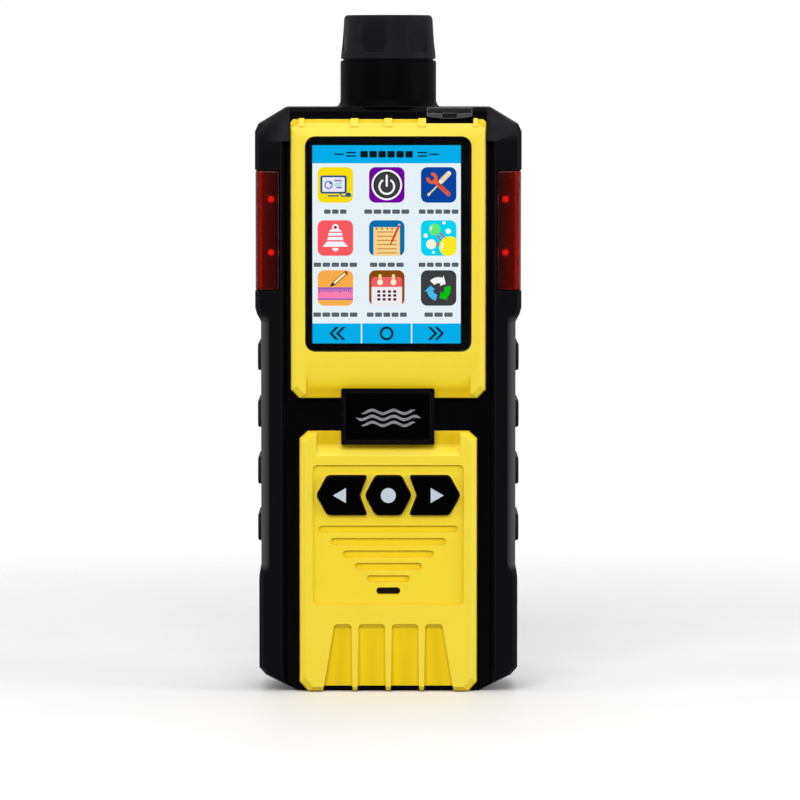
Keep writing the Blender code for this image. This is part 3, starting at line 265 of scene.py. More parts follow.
def scoop_painted_shade(made, tone):
    """Painted shade: darker inside the cap's scoops."""
    flat = made.node("VectorMath", {0: made.place, 1: (1, 1, 0)}, operation="MULTIPLY").outputs["Vector"]
    radius = made.times(made.node("VectorMath", {0: flat}, operation="LENGTH").outputs["Value"], 1 / MM)
    foot, top = (corner.z for corner in low_high("inlet_cap"))
    wall = made.ramp(made.along("Z"), foot, top, CAP_FOOT_RADIUS, CAP_TOP_RADIUS)
    depth = made.node("Math", {0: wall, 1: radius}, operation="SUBTRACT").outputs[0]
    # Painted shade, strongest where the scoops are sunk deepest.
    scoop_shade = made.times(made.ramp(depth, 0.12, 0.42), made.ramp(made.along("Z"), top - 1.2, top - 2.2))
    return made.mix(made.times(scoop_shade, 0.62), tone, (0.0008, 0.0008, 0.0012, 1))


def housing_painted_light(made, tone):
    """Painted shade darkens the channel between the wings, and a painted highlight makes the waist's front
    corner chamfers paler.
    """
    # Painted shade in the channel.
    channel_shade = made.ramp(made.beside(), 30.0, 29.5)
    tone = made.mix(channel_shade, tone, (0.0007, 0.0007, 0.0007, 1))
    # Painted highlight on the waist's front corners, ending short of its top and bottom.
    waist_highlight = made.times(
        made.ramp(made.beside(), 34.4, 36.8), made.ramp(made.along("Y"), -11.5, -14.5)
    )
    for edge, inward in ((35.4, 2.0), (109.6, -2.0)):
        waist_highlight = made.times(waist_highlight, made.ramp(made.along("Z"), edge, edge + inward))
    return made.mix(waist_highlight, tone, (0.085, 0.079, 0.075, 1))


def gloss(name, colour, roughness, **shader):
    """Polished plastic with dust in the gloss, a few hairline scratches and a painted highlight along the
    edges.
    """
    made = Finish(name, colour, roughness, **shader)
    dust = made.noise(0.9, 5.0, rough=0.7)
    hair = made.noise(0.22, 2.0, stretch=(1, 1, 40))
    rough = made.ramp(dust, 0.45, 0.75, roughness, roughness + 0.14)
    tone = made.tint(dust, 1.0, 1.6, 0.5, 0.8)
    # The base colour is painted paler along the edges as a highlight.
    return made.use(
        Roughness=rough,
        Base_Color=made.mix(made.times(made.edges(0.3), 0.6), tone, rgba(srgb(46, 44, 42))),
        Normal=made.bump(made.ramp(hair, 0.62, 0.8), 0.003),
    )


def brushed(name, colour, roughness, stretch):
    """Brushed stainless steel, with its lines along the stretched axis."""
    made = Finish(name, colour, roughness, metallic=1.0)
    lines = made.noise(0.16, 3.0, stretch=stretch)
    stain = made.noise(9.0, 4.0, rough=0.6)
    return made.use(
        Roughness=made.ramp(lines, 0.3, 0.7, roughness - 0.08, roughness + 0.12),
        Base_Color=made.tint(stain, 0.86, 1.05, 0.35),
        Normal=made.bump(lines, 0.006),
    )


def red_lens():
    """Dark red translucent polycarbonate, painted lighter outwards and darker towards the middle as
    painted light coming in through its outer side.
    """
    made = Finish("red_polycarbonate", srgb(168, 26, 20), 0.16, Transmission_Weight=0.86, IOR=1.3)
    haze = made.noise(6.0, 3.0)
    # Painted light: the red is lighter towards the lens's outer side.
    painted_side_light = made.ramp(made.beside(), 31.8, 37.4)
    return made.use(
        Base_Color=made.mix(painted_side_light, (0.09, 0.003, 0.002, 1), (0.52, 0.014, 0.006, 1)),
        Roughness=made.ramp(haze, 0.3, 0.7, 0.12, 0.24),
        Normal=made.bump(made.noise(0.5, 2.0), 0.004),
    )


def window_glass():
    """Hard-coated display glass, with the faintest of smears."""
    made = Finish("window_glass", (0.97, 0.98, 0.98), 0.03, Transmission_Weight=1.0, IOR=1.16)
    smear = made.noise(11.0, 5.0, stretch=(1, 1, 2.5), rough=0.65)
    return made.use(Roughness=made.ramp(smear, 0.45, 0.8, 0.02, 0.07))


def solder_mask():
    """A circuit board: green mask over tracks, and small gold pads."""
    made = Finish("solder_mask", (0.01, 0.12, 0.035), 0.34)
    squares = {"feature": "DISTANCE_TO_EDGE", "distance": "MANHATTAN"}
    cells = made.node("TexVoronoi", {"Vector": made.place, "Scale": 420.0}, **squares)
    track = made.ramp(cells.outputs["Distance"], 0.05, 0.09)
    pads = made.node("TexVoronoi", {"Vector": made.place, "Scale": 300.0})
    pad = made.ramp(pads.outputs["Distance"], 0.2, 0.16)
    base = made.mix(track, (0.02, 0.22, 0.06, 1), (0.008, 0.10, 0.03, 1))
    gold = made.mix(pad, base, (0.75, 0.52, 0.18, 1))
    return made.use(Base_Color=gold, Normal=made.bump(track, 0.03))


def shrink_wrap():
    """The battery's blue heat-shrunk film."""
    made = Finish("shrink_wrap", srgb(28, 74, 142), 0.32)
    folds = made.noise(4.0, 4.0, stretch=(1, 1, 3))
    return made.use(
        Base_Color=made.tint(folds, 0.8, 1.2),
        Roughness=made.ramp(folds, 0.3, 0.7, 0.24, 0.42),
        Normal=made.bump(folds, 0.25),
    )


def soft_silicone():
    """Milky silicone rubber for the tubes and key domes."""
    soft = {"Subsurface_Weight": 0.25, "Subsurface_Scale": 0.002}
    made = Finish("milky_silicone", (0.62, 0.64, 0.62), 0.42, **soft)
    cloud = made.noise(5.0, 3.0)
    return made.use(
        Base_Color=made.tint(cloud, 0.88, 1.1), Normal=made.bump(made.noise(0.6, 2.0), 0.01)
    )


def foil_label():
    """A blank metallised polyester label."""
    made = Finish("foil_label", srgb(176, 178, 180), 0.38, metallic=0.35)
    lines = made.noise(0.2, 2.0, stretch=(60, 1, 1))
    return made.use(
        Base_Color=made.tint(made.noise(14.0, 3.0), 0.92, 1.06),
        Roughness=made.ramp(lines, 0.3, 0.7, 0.32, 0.46),
        Normal=made.bump(lines, 0.004),
    )


def ink(name, colour, roughness=0.45, grain=0.25, **shader):
    """Printed ink, a little uneven."""
    made = Finish(name, colour, roughness, **shader)
    cover = made.noise(grain, 3.0)
    return made.use(
        Base_Color=made.tint(cover, 0.9, 1.06),
        Roughness=made.ramp(cover, 0.3, 0.7, roughness - 0.06, roughness + 0.08),
        Normal=made.bump(cover, 0.004),
    )


def screen_light(name, colour):
    """A lit colour of the display, slightly uneven, as its backlight is."""
    made = Finish(name, (0.0, 0.0, 0.0), 0.5, Specular_IOR_Level=0.0, Emission_Strength=1.0)
    glow = made.ramp(made.noise(16.0, 2.0), 0.3, 0.7)
    grid = made.ramp(made.noise(0.35, 1.0), 0.3, 0.7, 0.0, 0.5)
    even = made.mix(glow, rgba(colour, 0.965), rgba(colour, 1.0))
    return made.use(Emission_Color=made.mix(made.times(grid, glow), even, rgba(colour, 0.95)))


# The last two values of BLACK_ABS, and the edge share and edge colour of the finishes below, paint a
# highlight along the edges.
BLACK_ABS = ((0.0034, 0.0032, 0.0046), 0.36, 0.30, 0.010, 0.12, 0.22, srgb(62, 62, 66))
FINISHES = {
    "black_plastic": moulded("black_abs", *BLACK_ABS, Specular_IOR_Level=0.07),
    # Its base colour holds a whitish painted reflection, which the painted shade of the recesses leaves
    # out.
    "yellow_plastic": moulded(
        "yellow_abs", (0.88, 0.68, 0.046), 0.40, 0.22, 0.006, mottle=0.02, edge_highlight=0.4,
        highlight_colour=(1.0, 0.84, 0.16), painted_light=yellow_painted_shade, Specular_IOR_Level=0.22,
    ),
    "black_gloss": gloss("black_gloss", (0.0004, 0.0004, 0.0004), 0.28, Specular_IOR_Level=0.025),
    "rubber": moulded(
        "black_rubber", (0.0062, 0.0062, 0.0064), 0.55, 0.5, 0.02, mottle=0.2, edge_highlight=0.35,
        highlight_colour=srgb(66, 66, 68), Specular_IOR_Level=0.14,
    ),
    "red_lens": red_lens(),
    "glass": window_glass(),
    "display": gloss("display_module", srgb(22, 24, 28), 0.35),
    "board": solder_mask(),
    "steel": brushed("brushed_steel", (0.56, 0.56, 0.57), 0.30, (1, 1, 30)),
    "light_plastic": moulded("light_nylon", srgb(205, 203, 194), 0.5, 0.4, 0.015, mottle=0.04),
    "silicone": soft_silicone(),
    "battery_wrap": shrink_wrap(),
    "label": foil_label(),
}
CAP_FINISH = moulded(
    "cap_rubber", (0.0058, 0.0054, 0.0078), 0.62, 0.35, 0.02, mottle=0.15, edge_highlight=0.35,
    highlight_colour=srgb(84, 82, 90), painted_light=scoop_painted_shade, Specular_IOR_Level=0.10,
)
NECK_FINISH = moulded(
    "neck_abs", (0.0010, 0.0010, 0.0014), 0.50, 0.30, 0.010, edge_highlight=0.3, highlight_colour=srgb(74, 73, 78),
    Specular_IOR_Level=0.02,
)
COVER_FINISH = moulded(
    "cover_rubber", (0.0060, 0.0058, 0.0070), 0.42, 0.4, 0.03, mottle=0.35, edge_highlight=1.0,
    highlight_colour=srgb(140, 140, 142), Specular_IOR_Level=0.18,
)
HOUSING_FINISH = moulded(
    "housing_abs", *BLACK_ABS, painted_light=housing_painted_light, Specular_IOR_Level=0.055
)
OWN_FINISHES = {"front_housing": HOUSING_FINISH}


# ---------------------------------------------------------------- carried-over CAD nodes

# How far each node's sharp edges are rounded, in millimetres, and with how many steps
ROUNDING = {
    "front_housing": (0.4, 3),
    "rear_housing": (0.4, 3),
    "display_bezel": (0.3, 3),
    "keypad_bezel": (0.3, 3),
    "left_side_rail": (0.5, 4),
    "right_side_rail": (0.5, 4),
    "left_alarm_lens": (0.45, 4),
    "right_alarm_lens": (0.45, 4),
    "display_window": (0.12, 2),
    "clip_bracket": (0.25, 2),
    "rear_label": (0.05, 1),
    "battery_pack": (0.6, 3),
    "pump_head": (0.3, 2),
    "pump_cover": (0.3, 2),
    "sensor_manifold": (0.3, 2),
    "usb_connector": (0.12, 2),
}
PLAIN_ROUNDING = (0.12, 2)


def round_edges(piece, width, segments, angle=22):
    """Joins the flat facets, rounds the sharp edges and shades the flats flat."""
    weld = piece.modifiers.new("weld", "WELD")
    weld.merge_threshold = 2e-6
    facets = piece.modifiers.new("facets", "DECIMATE")
    facets.decimate_type = "DISSOLVE"
    facets.angle_limit = math.radians(0.6)
    bevel = piece.modifiers.new("rounding", "BEVEL")
    bevel.width = width * MM
    bevel.segments = segments
    bevel.limit_method = "ANGLE"
    bevel.angle_limit = math.radians(angle)
    bevel.miter_outer = "MITER_ARC"
    normals = piece.modifiers.new("normals", "WEIGHTED_NORMAL")
    normals.keep_sharp = False
    for polygon in piece.data.polygons:
        polygon.use_smooth = True


def dress_frame():
    """Gives every CAD node its finish and its rounded edges."""
    slots = {part["node"]: part["material_slot"] for part in frame["record"]["subparts"]}
    for name, node in NODES.items():
        finish = OWN_FINISHES.get(name, FINISHES[slots[name]])
        if not node.material_slots:
            node.data.materials.append(finish)
        for own in node.material_slots:
            own.material = finish
        round_edges(node, *ROUNDING.get(name, PLAIN_ROUNDING))


# ---------------------------------------------------------------- building pieces


def outward_object(name, bm):
    """A new object from a bmesh in millimetres, with its faces turned outwards."""
    bmesh.ops.recalc_face_normals(bm, faces=bm.faces)
    bmesh.ops.scale(bm, vec=(MM, MM, MM), verts=bm.verts)
    mesh = bpy.data.meshes.new(name)
    bm.to_mesh(mesh)
    bm.free()
    return link(name, mesh)


def add_piece(name, bm, finishes, body="housing", replaced=()):
    """A new piece of the object, from a bmesh in millimetres, on one of its bodies."""
    piece = outward_object(name, bm)
    for finish in finishes if isinstance(finishes, (list, tuple)) else [finishes]:
        piece.data.materials.append(finish)
    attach(piece, body)
    if replaced:
        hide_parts(*replaced)
    return piece


def smooth(piece):
    """Smooth shading, broken only at sharp edges."""
    piece.data.shade_smooth()
    piece.data.set_sharp_from_angle(angle=math.radians(40))


def apply_modifiers(piece):
    """Replaces the piece's mesh by what its modifiers make of it."""
    evaluated = piece.evaluated_get(bpy.context.evaluated_depsgraph_get())
    made = bpy.data.meshes.new_from_object(evaluated)
    piece.modifiers.clear()
    piece.data = made


def carve(piece, shapes):
    """Joins or cuts (operation, bmesh) shapes, one after another."""
    for operation, shape in shapes:
        cutter = outward_object(f"{piece.name}_tool", shape)
        modifier = piece.modifiers.new("shape", "BOOLEAN")
        modifier.operation = operation
        modifier.object = cutter
        apply_modifiers(piece)
        bpy.data.objects.remove(cutter)


def bridge(bm, first, second):
    """A closed band of faces between two rings with as many points each."""
    faces = []
    for i in range(len(first)):
        j = (i + 1) % len(first)
        faces.append(bm.faces.new((first[i], first[j], second[j], second[i])))
    return faces


def loft(rings):
    """A closed bmesh through rings of (across, deep, up) points, with as many points each."""
    bm = bmesh.new()
    rings = [[bm.verts.new(point) for point in ring] for ring in rings]
    for lower, upper in zip(rings, rings[1:]):
        bridge(bm, lower, upper)
    bm.faces.new(rings[0])
    bm.faces.new(rings[-1])
    return bm


def standing(outline, deep):
    """An (across, up) outline as points at one depth."""
    return [(across, deep, up) for across, up in outline]


def crosswise_rod(radius, length, segments, middle):
    """A bmesh of a round rod that lies across the object, about a point."""
    bm = bmesh.new()
    place = Matrix.Translation(middle) @ Matrix.Rotation(math.pi / 2, 4, "Y")
    sizes = {"radius1": radius, "radius2": radius, "depth": length}
    bmesh.ops.create_cone(bm, cap_ends=True, segments=segments, matrix=place, **sizes)
    return bm


def revolve(rings, steps, shift=None):
    """A bmesh turned about Z from a closed loop of (radius, height) rings. shift bends points."""
    bm = bmesh.new()
    levels = []
    for radius, height in rings:
        level = []
        for step in range(steps):
            turn = 2 * math.pi * step / steps
            r, z = (radius, height) if shift is None else shift(radius, height, turn)
            level.append(bm.verts.new((r * math.cos(turn), r * math.sin(turn), z)))
        levels.append(level)
    for lower, upper in zip(levels, levels[1:] + levels[:1]):
        bridge(bm, lower, upper)
    return bm


def slab(bm, outline, back, front, index=0, hole=None):
    """Adds a flat shape from (across, up) points to a bmesh, from its back to its front along Y.

    A hole has as many points as the outline.
    """

    def wall(points):
        return [[bm.verts.new(point) for point in standing(points, deep)] for deep in (back, front)]

    rear, fore = wall(outline)
    made = bridge(bm, rear, fore)
    if hole is None:
        made += [bm.faces.new(rear), bm.faces.new(fore)]
    else:
        inner_rear, inner_fore = wall(hole)
        for first, second in ((inner_rear, inner_fore), (rear, inner_rear), (fore, inner_fore)):
            made += bridge(bm, first, second)
    for face in made:
        face.material_index = index


def plate(outline, back, front, hole=None):
    """A slab in a bmesh of its own."""
    bm = bmesh.new()
    slab(bm, outline, back, front, hole=hole)
    return bm


# ---------------------------------------------------------------- outlines


def arc(across, up, radius, start, end, steps=10):
    """Points round part of a circle, by angles in degrees anticlockwise from the right."""
    turns = [math.radians(start + (end - start) * step / steps) for step in range(steps + 1)]
    return [(across + radius * math.cos(turn), up + radius * math.sin(turn)) for turn in turns]


def quarter(steps):
    """Angles from 0 to a right angle."""
    return [math.pi / 2 * step / steps for step in range(steps + 1)]


def disc(across, up, radius, sides=32):
    return arc(across, up, radius, 0, 360, sides)[:-1]


def rounded(across, up, half_width, half_height, radius, steps=6):
    """A rectangle with round corners about its middle."""
    wide, tall = half_width - radius, half_height - radius
    corners = ((wide, -tall, -90), (wide, tall, 0), (-wide, tall, 90), (-wide, -tall, 180))
    outline = []
    for right, high, start in corners:
        outline += arc(across + right, up + high, radius, start, start + 90, steps)
    return outline


def band(across, up, outer, inner, start, end, steps=24):
    """Part of a ring."""
    return arc(across, up, outer, start, end, steps) + arc(across, up, inner, end, start, steps)


def bar(start, end, width, round_ends=False):
    """A straight stroke between two points."""
    along = Vector((end[0] - start[0], end[1] - start[1])).normalized()
    turn = math.degrees(math.atan2(along.y, along.x))
    half = width / 2
    if round_ends:
        return arc(*start, half, turn + 90, turn + 270, 8) + arc(*end, half, turn - 90, turn + 90, 8)
    side = Vector((-along.y, along.x)) * half
    return [
        (start[0] - side.x, start[1] - side.y),
        (end[0] - side.x, end[1] - side.y),
        (end[0] + side.x, end[1] + side.y),
        (start[0] + side.x, start[1] + side.y),
    ]


def box_outline(left, low, right, high):
    return [(left, low), (right, low), (right, high), (left, high)]


def chevron(tip, arm, width, points_left):
    """An angle bracket: its tip, how far its arms reach and how wide they are."""
    back = arm if points_left else -arm
    step = width * 1.25 if points_left else -width * 1.25
    across, up = tip
    return [
        (across, up),
        (across + back, up - arm),
        (across + back + step, up - arm),
        (across + step, up),
        (across + back + step, up + arm),
        (across + back, up + arm),
    ]


def clipped(outline, window):
    """The part of an outline inside a convex, anticlockwise window."""
    for start, end in zip(window, window[1:] + window[:1]):
        edge = (end[0] - start[0], end[1] - start[1])

        def inside(point):
            return edge[0] * (point[1] - start[1]) - edge[1] * (point[0] - start[0]) >= 0

        def crossing(a, b):
            run = (b[0] - a[0], b[1] - a[1])
            share = edge[0] * (start[1] - a[1]) - edge[1] * (start[0] - a[0])
            share /= edge[0] * run[1] - edge[1] * run[0]
            return (a[0] + run[0] * share, a[1] + run[1] * share)

        kept = []
        for before, here in zip(outline[-1:] + outline[:-1], outline):
            if inside(here) != inside(before):
                kept.append(crossing(before, here))
            if inside(here):
                kept.append(here)
        outline = kept
    return outline


# ---------------------------------------------------------------- cap and neck


def smoothstep(low, high, value):
    share = min(1.0, max(0.0, (value - low) / (high - low)))
    return share * share * (3 - 2 * share)


def scooped(foot, top):
    """How the cap's wall is drawn in at its six thumb scoops."""
    low = foot + SCOOP_FOOT
    corner = 2.2
    half_turn = SCOOP_HALF_WIDTH / CAP_FOOT_RADIUS

    def shift(radius, height, turn):
        if radius < SCOOP_FLOOR - 0.3 or height < foot + 0.3:
            return radius, height  # the socket, the recess and the rim stay round
        pitch = 2 * math.pi / SCOOP_COUNT
        first = math.radians(SCOOP_TURN - 90)
        off = (turn - first + pitch / 2) % pitch - pitch / 2
        beside = abs(off) * CAP_FOOT_RADIUS - (SCOOP_HALF_WIDTH - corner)
        under = low + corner - height
        outside = math.hypot(max(beside, 0), max(under, 0)) + min(max(beside, under), 0) - corner
        share = smoothstep(0.32, -0.42, outside)
        floor = min(radius, SCOOP_FLOOR + 0.25 * (off / half_turn) ** 2)
        return radius + (floor - radius) * share, height

    return shift


def inlet_cap():
    """The screw cap: a leaning wall with soft scoops, a round top edge and a hose socket."""
    low, high = low_high("inlet_cap")
    foot, top = low.z, high.z
    ceiling = top - 5.5
    edge = 1.1
    rings = [(SOCKET_RADIUS, ceiling), (SOCKET_RADIUS, top - 0.9)]
    for turn in (0, 0.8, 1.57):
        radius = SOCKET_RADIUS + 0.35 + 0.35 * math.sin(turn)
        rings.append((radius, top - 0.55 - 0.35 * math.cos(turn)))
    rings += [(4.7, top - 0.5), (5.0, top - 0.1), (5.3, top), (8.0, top), (10.4, top)]
    lean = (CAP_FOOT_RADIUS - CAP_TOP_RADIUS) / (top - foot)
    for turn in quarter(6):
        radius = CAP_TOP_RADIUS - edge + edge * math.sin(turn)
        rings.append((radius, top - edge + edge * math.cos(turn)))
    levels = 44
    for step in range(1, levels + 1):
        height = top - edge - (top - edge - foot - 0.35) * step / levels
        rings.append((CAP_TOP_RADIUS + lean * (top - height), height))
    rim = CAP_FOOT_RADIUS - 0.02
    rings += [(rim - 0.08, foot + 0.14), (rim - 0.3, foot), (CAP_RECESS, foot)]
    rings += [(CAP_RECESS, foot + 1.5), (10.9, foot + 1.5), (10.9, ceiling)]
    bm = revolve(rings, 192, scooped(foot, top))
    smooth(add_piece("screw_cap", bm, CAP_FINISH, "cap", ["inlet_cap"]))


def inlet_neck():
    """The neck: a threaded spigot in the cap, a collar, a round shoulder and a flare below."""
    low, high = low_high("inlet_neck")
    body_top = low_high("rear_housing")[1].z
    spigot = 10.6
    shoulder = 0.75
    rings = [(8.6, high.z), (spigot - 0.5, high.z)]
    levels = 40
    for step in range(levels + 1):
        rings.append((spigot, high.z - 0.3 - (high.z - 0.3 - COLLAR_TOP) * step / levels))
    rings += [(COLLAR_RADIUS - 0.25, COLLAR_TOP), (COLLAR_RADIUS, COLLAR_TOP - 0.2)]
    rings.append((COLLAR_RADIUS, NECK_TOP))
    for turn in quarter(5):
        radius = NECK_RADIUS - shoulder + shoulder * math.sin(turn)
        rings.append((radius, NECK_TOP - shoulder + shoulder * math.cos(turn)))
    flare, rise = high.x - NECK_RADIUS, 2.2
    for turn in quarter(9):
        height = body_top + 0.06 + rise * (1 - math.sin(turn))
        rings.append((NECK_RADIUS + flare * (1 - math.cos(turn)), height))
    rings += [(NECK_RADIUS + flare, body_top + 0.02), (8.0, body_top + 0.02), (8.0, low.z)]
    rings += [(1.6, low.z), (1.6, 172.0), (8.6, 172.0)]

    def thread(radius, height, turn):
        if abs(radius - spigot) < 1e-6 and COLLAR_TOP + 0.1 < height < high.z - 0.4:
            wave = (turn / (2 * math.pi) - height / THREAD_PITCH) % 1.0
            ridge = max(0.0, 1 - abs(wave - 0.5) * 3.4)
            fade = smoothstep(COLLAR_TOP + 0.1, COLLAR_TOP + 0.7, height)
            fade *= smoothstep(high.z - 0.4, high.z - 1.0, height)
            radius += -0.3 + 0.52 * min(1.0, ridge * 1.5) * fade
        return radius, height

    bm = revolve(rings, 160, thread)
    front = low_high("front_housing")[0].y + 3.6
    for vert in bm.verts:
        if body_top - 0.1 < vert.co.z < body_top + 3:
            vert.co.y = max(vert.co.y, front)
    smooth(add_piece("filter_neck", bm, NECK_FINISH, "housing", ["inlet_neck"]))


# ---------------------------------------------------------------- charging port


def usb_cover():
    """The rubber port cover: a plate, a bowed thumb lip with a notch in it, and a plug underneath."""
    low, high = low_high("usb_cover")
    left, right = low.x, high.x
    front, rear = low.y, high.y
    top = high.z
    middle, half = (left + right) / 2, (right - left) / 2
    columns = 24
    rows = []
    for step in range(columns + 1):
        across = left + (right - left) * step / columns
        bow = 1 - ((across - middle) / half) ** 2
        lip_high, lip_low = top - 1.75 - 0.3 * bow, top - 2.45 - 0.6 * bow
        lip_front = front - 0.3 - 0.3 * bow
        section = [
            (rear, top),
            (front + 0.5, top),
            (front + 0.15, top - 0.15),
            (front, top - 0.5),
            (front, lip_high),
            (lip_front + 0.1, lip_high - 0.15),
            (lip_front - 0.1, lip_low),
            (lip_front, lip_low - 0.2),
            (front + 0.4, lip_low - 0.35),
            (front + 1.5, lip_low - 0.35),
            (front + 1.5, top - 1.3),
            (rear, top - 1.3),
        ]
        rows.append([(across, deep, up) for deep, up in section])
    body = loft(rows)
    cover = add_piece("port_flap", body, COVER_FINISH, "port_cover", ["usb_cover"])
    notch = plate(rounded(middle, top - 2.55, 2.3, 0.75, 0.45), front + 0.65, front - 3)
    neck_room = [(10.0, top - 8), (16.6, top - 8), (16.6, top + 8), (10.0, top + 8)]
    plug = plate(rounded(middle + 0.45, top - 2.0, 4.6, 0.75, 0.3), front + 8.0, front + 4.4)
    cuts = [("DIFFERENCE", notch), ("DIFFERENCE", revolve(neck_room, 96))]
    carve(cover, [("UNION", plug), *cuts])
    round_edges(cover, 0.2, 3, 25)


# ---------------------------------------------------------------- belt clip


def bent_strip(points, radius, thickness, steps=7):
    """The closed side outline of a strip that follows points with round bends."""
    route = [Vector(points[0])]
    for before, here, after in zip(points, points[1:], points[2:]):
        here = Vector(here)
        start = (Vector(before) - here).normalized()
        end = (Vector(after) - here).normalized()
        reach = min(radius, (Vector(before) - here).length * 0.45, (Vector(after) - here).length * 0.45)
        first, last = here + start * reach, here + end * reach
        for step in range(steps + 1):
            t = step / steps
            route.append(first * (1 - t) ** 2 + here * 2 * t * (1 - t) + last * t**2)
    route.append(Vector(points[-1]))
    outer, inner = [], []
    for i, point in enumerate(route):
        along = (route[min(i + 1, len(route) - 1)] - route[max(i - 1, 0)]).normalized()
        side = Vector((-along.y, along.x)) * thickness / 2
        outer.append(point + side)
        inner.append(point - side)
    return outer + inner[::-1]


def clip_arm():
    """The sprung steel arm: a bent strip with a slot, a barrel for the pin and round corners."""
    low, high = low_high("clip_arm")
    half = high.x
    pin_low, pin_high = low_high("clip_pin")
    pin_y, pin_z = (pin_low.y + pin_high.y) / 2, (pin_low.z + pin_high.z) / 2
    side = bent_strip(CLIP_ROUTE, 3.2, 1.15)
    bm = loft([[(across, deep, up) for deep, up in side] for across in (-half, half)])
    arm = add_piece("belt_clip", bm, FINISHES["steel"], "clip", ["clip_arm"])
    shapes = [("DIFFERENCE", plate(rounded(0, 82, 4, 16, 3.95, 10), 30, 20))]
    for sign in (-1, 1):
        for up, corner in ((high.z, 4.0), (low.z, 3.0)):
            inward = -1 if up > 90 else 1
            outline = [(sign * (half + 1), up - inward), (sign * (half + 1), up + inward * corner)]
            middle = (sign * (half - corner), up + inward * corner)
            for turn in quarter(8):
                across = middle[0] + sign * corner * math.cos(turn)
                outline.append((across, middle[1] - inward * corner * math.sin(turn)))
            outline.append((sign * (half - corner), up - inward))
            shapes.append(("DIFFERENCE", plate(outline, 34, 14)))
    reach = 5.4
    barrel = crosswise_rod(2.1, half + reach, 40, ((reach - half) / 2, pin_y, pin_z))
    shapes.append(("UNION", barrel))
    shapes.append(("DIFFERENCE", crosswise_rod(1.1, 60, 32, (0, pin_y, pin_z))))
    carve(arm, shapes)
    round_edges(arm, 0.2, 2, 35)


# ---------------------------------------------------------------- badge and keycaps

def softened(outline, inset, radius, steps=6):
    """An anticlockwise outline moved inwards by an inset, with its corners rounded."""
    corners = []
    for before, here, after in zip(outline[-1:] + outline[:-1], outline, outline[1:] + outline[:1]):
        here = Vector(here)
        first, second = (here - Vector(before)).normalized(), (Vector(after) - here).normalized()
        inward = Vector((-first.y - second.y, first.x + second.x))
        corners.append(here + inward * inset / (1 + first.dot(second)))
    points = []
    for before, here, after in zip(corners[-1:] + corners[:-1], corners, corners[1:] + corners[:1]):
        start = here + (before - here).normalized() * radius
        end = here + (after - here).normalized() * radius
        for step in range(steps + 1):
            t = step / steps
            points.append(tuple(start * (1 - t) ** 2 + here * 2 * t * (1 - t) + end * t**2))
    return points


def keycaps():
    """Three glossy keycaps with round corners and softly rounded rims."""
    black = FINISHES["black_gloss"]
    for key, outline in KEY_OUTLINES.items():
        node = f"key_{key}"
        face, row = low_high(node)[0].y, middle_height(node)
        placed = [(across, up + row) for across, up in outline]
        placed = softened(placed, KEYCAP_INSET, KEYCAP_CORNER)
        cap = loft([standing(placed, KEYCAP_BACK), standing(placed, face)])
        piece = add_piece(f"keycap_{key}", cap, black, f"{key}_key", [node])
        round_edges(piece, 0.4, 4, 35)


def key_surrounds():
    """The low yellow lips round the keys, which round off the corners of their holes."""
    face = low_high("keypad_bezel")[0].y + FIELD_DEPTH
    for key, outline in KEY_OUTLINES.items():
        row = middle_height(f"key_{key}")
        placed = [(across, up + row) for across, up in outline]
        hole = softened(placed, 0.02, KEYCAP_CORNER)
        bm = plate(softened(placed, -0.4, 1.0), face + 0.04, face - 0.16, hole)
        lip = add_piece(f"{key}_surround", bm, FINISHES["yellow_plastic"])
        round_edges(lip, 0.06, 2, 40)


def badge():
    """The badge plate: a foot, a plate with a raised double-edged rim, and a flat field."""
    low, high = low_high("nameplate")
    top = high.z + 0.7
    across, up = -0.15, (low.z + top) / 2
    half_width, half_height = high.x + 0.05, (top - low.z) / 2
    back = 2.35  # the plate's thickness
    foot = rounded(0, 80.7, 12.0, 3.9, 0.3)
    rings = [standing(foot, high.y), standing(foot, low.y + back)]
    rim = ((back, 0), (0, 0), (0, 0.55), (0.16, 0.6), (0.16, 0.9), (0.04, 0.95), (0.04, 1.15))
    for deep, inset in (*rim, (0.3, 1.25)):
        outline = rounded(across, up, half_width - inset, half_height - inset, 0.45)
        rings.append(standing(outline, low.y + deep))
    black = FINISHES["black_gloss"]
    piece = add_piece("badge", loft(rings), black, replaced=["nameplate"])
    round_edges(piece, 0.07, 2, 30)


# ---------------------------------------------------------------- printed marks

MARK = ink("grey_mark", srgb(192, 204, 214), 0.5)
SILVER = brushed("silver_foil", (0.62, 0.63, 0.66), 0.34, (30, 1, 1))


def printed(name, outlines, surface, finish, body="housing"):
    """Marks a few hundredths of a millimetre thick on a surface that faces the front."""
    thick = 0.03
    bm = bmesh.new()
    for outline in outlines:
        slab(bm, outline, surface + thick * 0.4, surface - thick)
    add_piece(name, bm, finish, body)


def key_marks():
    """Left and right triangles and a circle on the three keys."""
    row = middle_height("key_ok")
    face = low_high("key_ok")[0].y
    marks = {
        "left": [(-16.1, row), (-12.3, row - 2.2), (-12.3, row + 2.2)],
        "ok": disc(0, row, 2.18, 40),
        "right": [(16.1, row), (12.3, row + 2.2), (12.3, row - 2.2)],
    }
    for key, outline in marks.items():
        printed(f"{key}_key_mark", [outline], face, MARK, f"{key}_key")


def emblem():
    """Three flowing waves, a plain sign for moving gas, on the badge."""
    middle = middle_height("nameplate")
    field = low_high("nameplate")[0].y + 0.3
    waves = []
    steps = 60
    for level in (-1, 0, 1):
        height = middle + level * 1.75
        half = 9.4 - 1.6 * abs(level)
        upper, lower = [], []
        for step in range(steps + 1):
            along = -half + 2 * half * step / steps
            wave = height + 0.5 * math.sin(along * math.pi / 3.1)
            thick = 0.42 * min(1.0, (half - abs(along)) / 1.4 + 0.12)
            upper.append((along, wave + thick))
            lower.append((along, wave - thick))
        waves.append(lower + upper[::-1])
    printed("emblem", waves, field, SILVER)


# ---------------------------------------------------------------- the display's picture

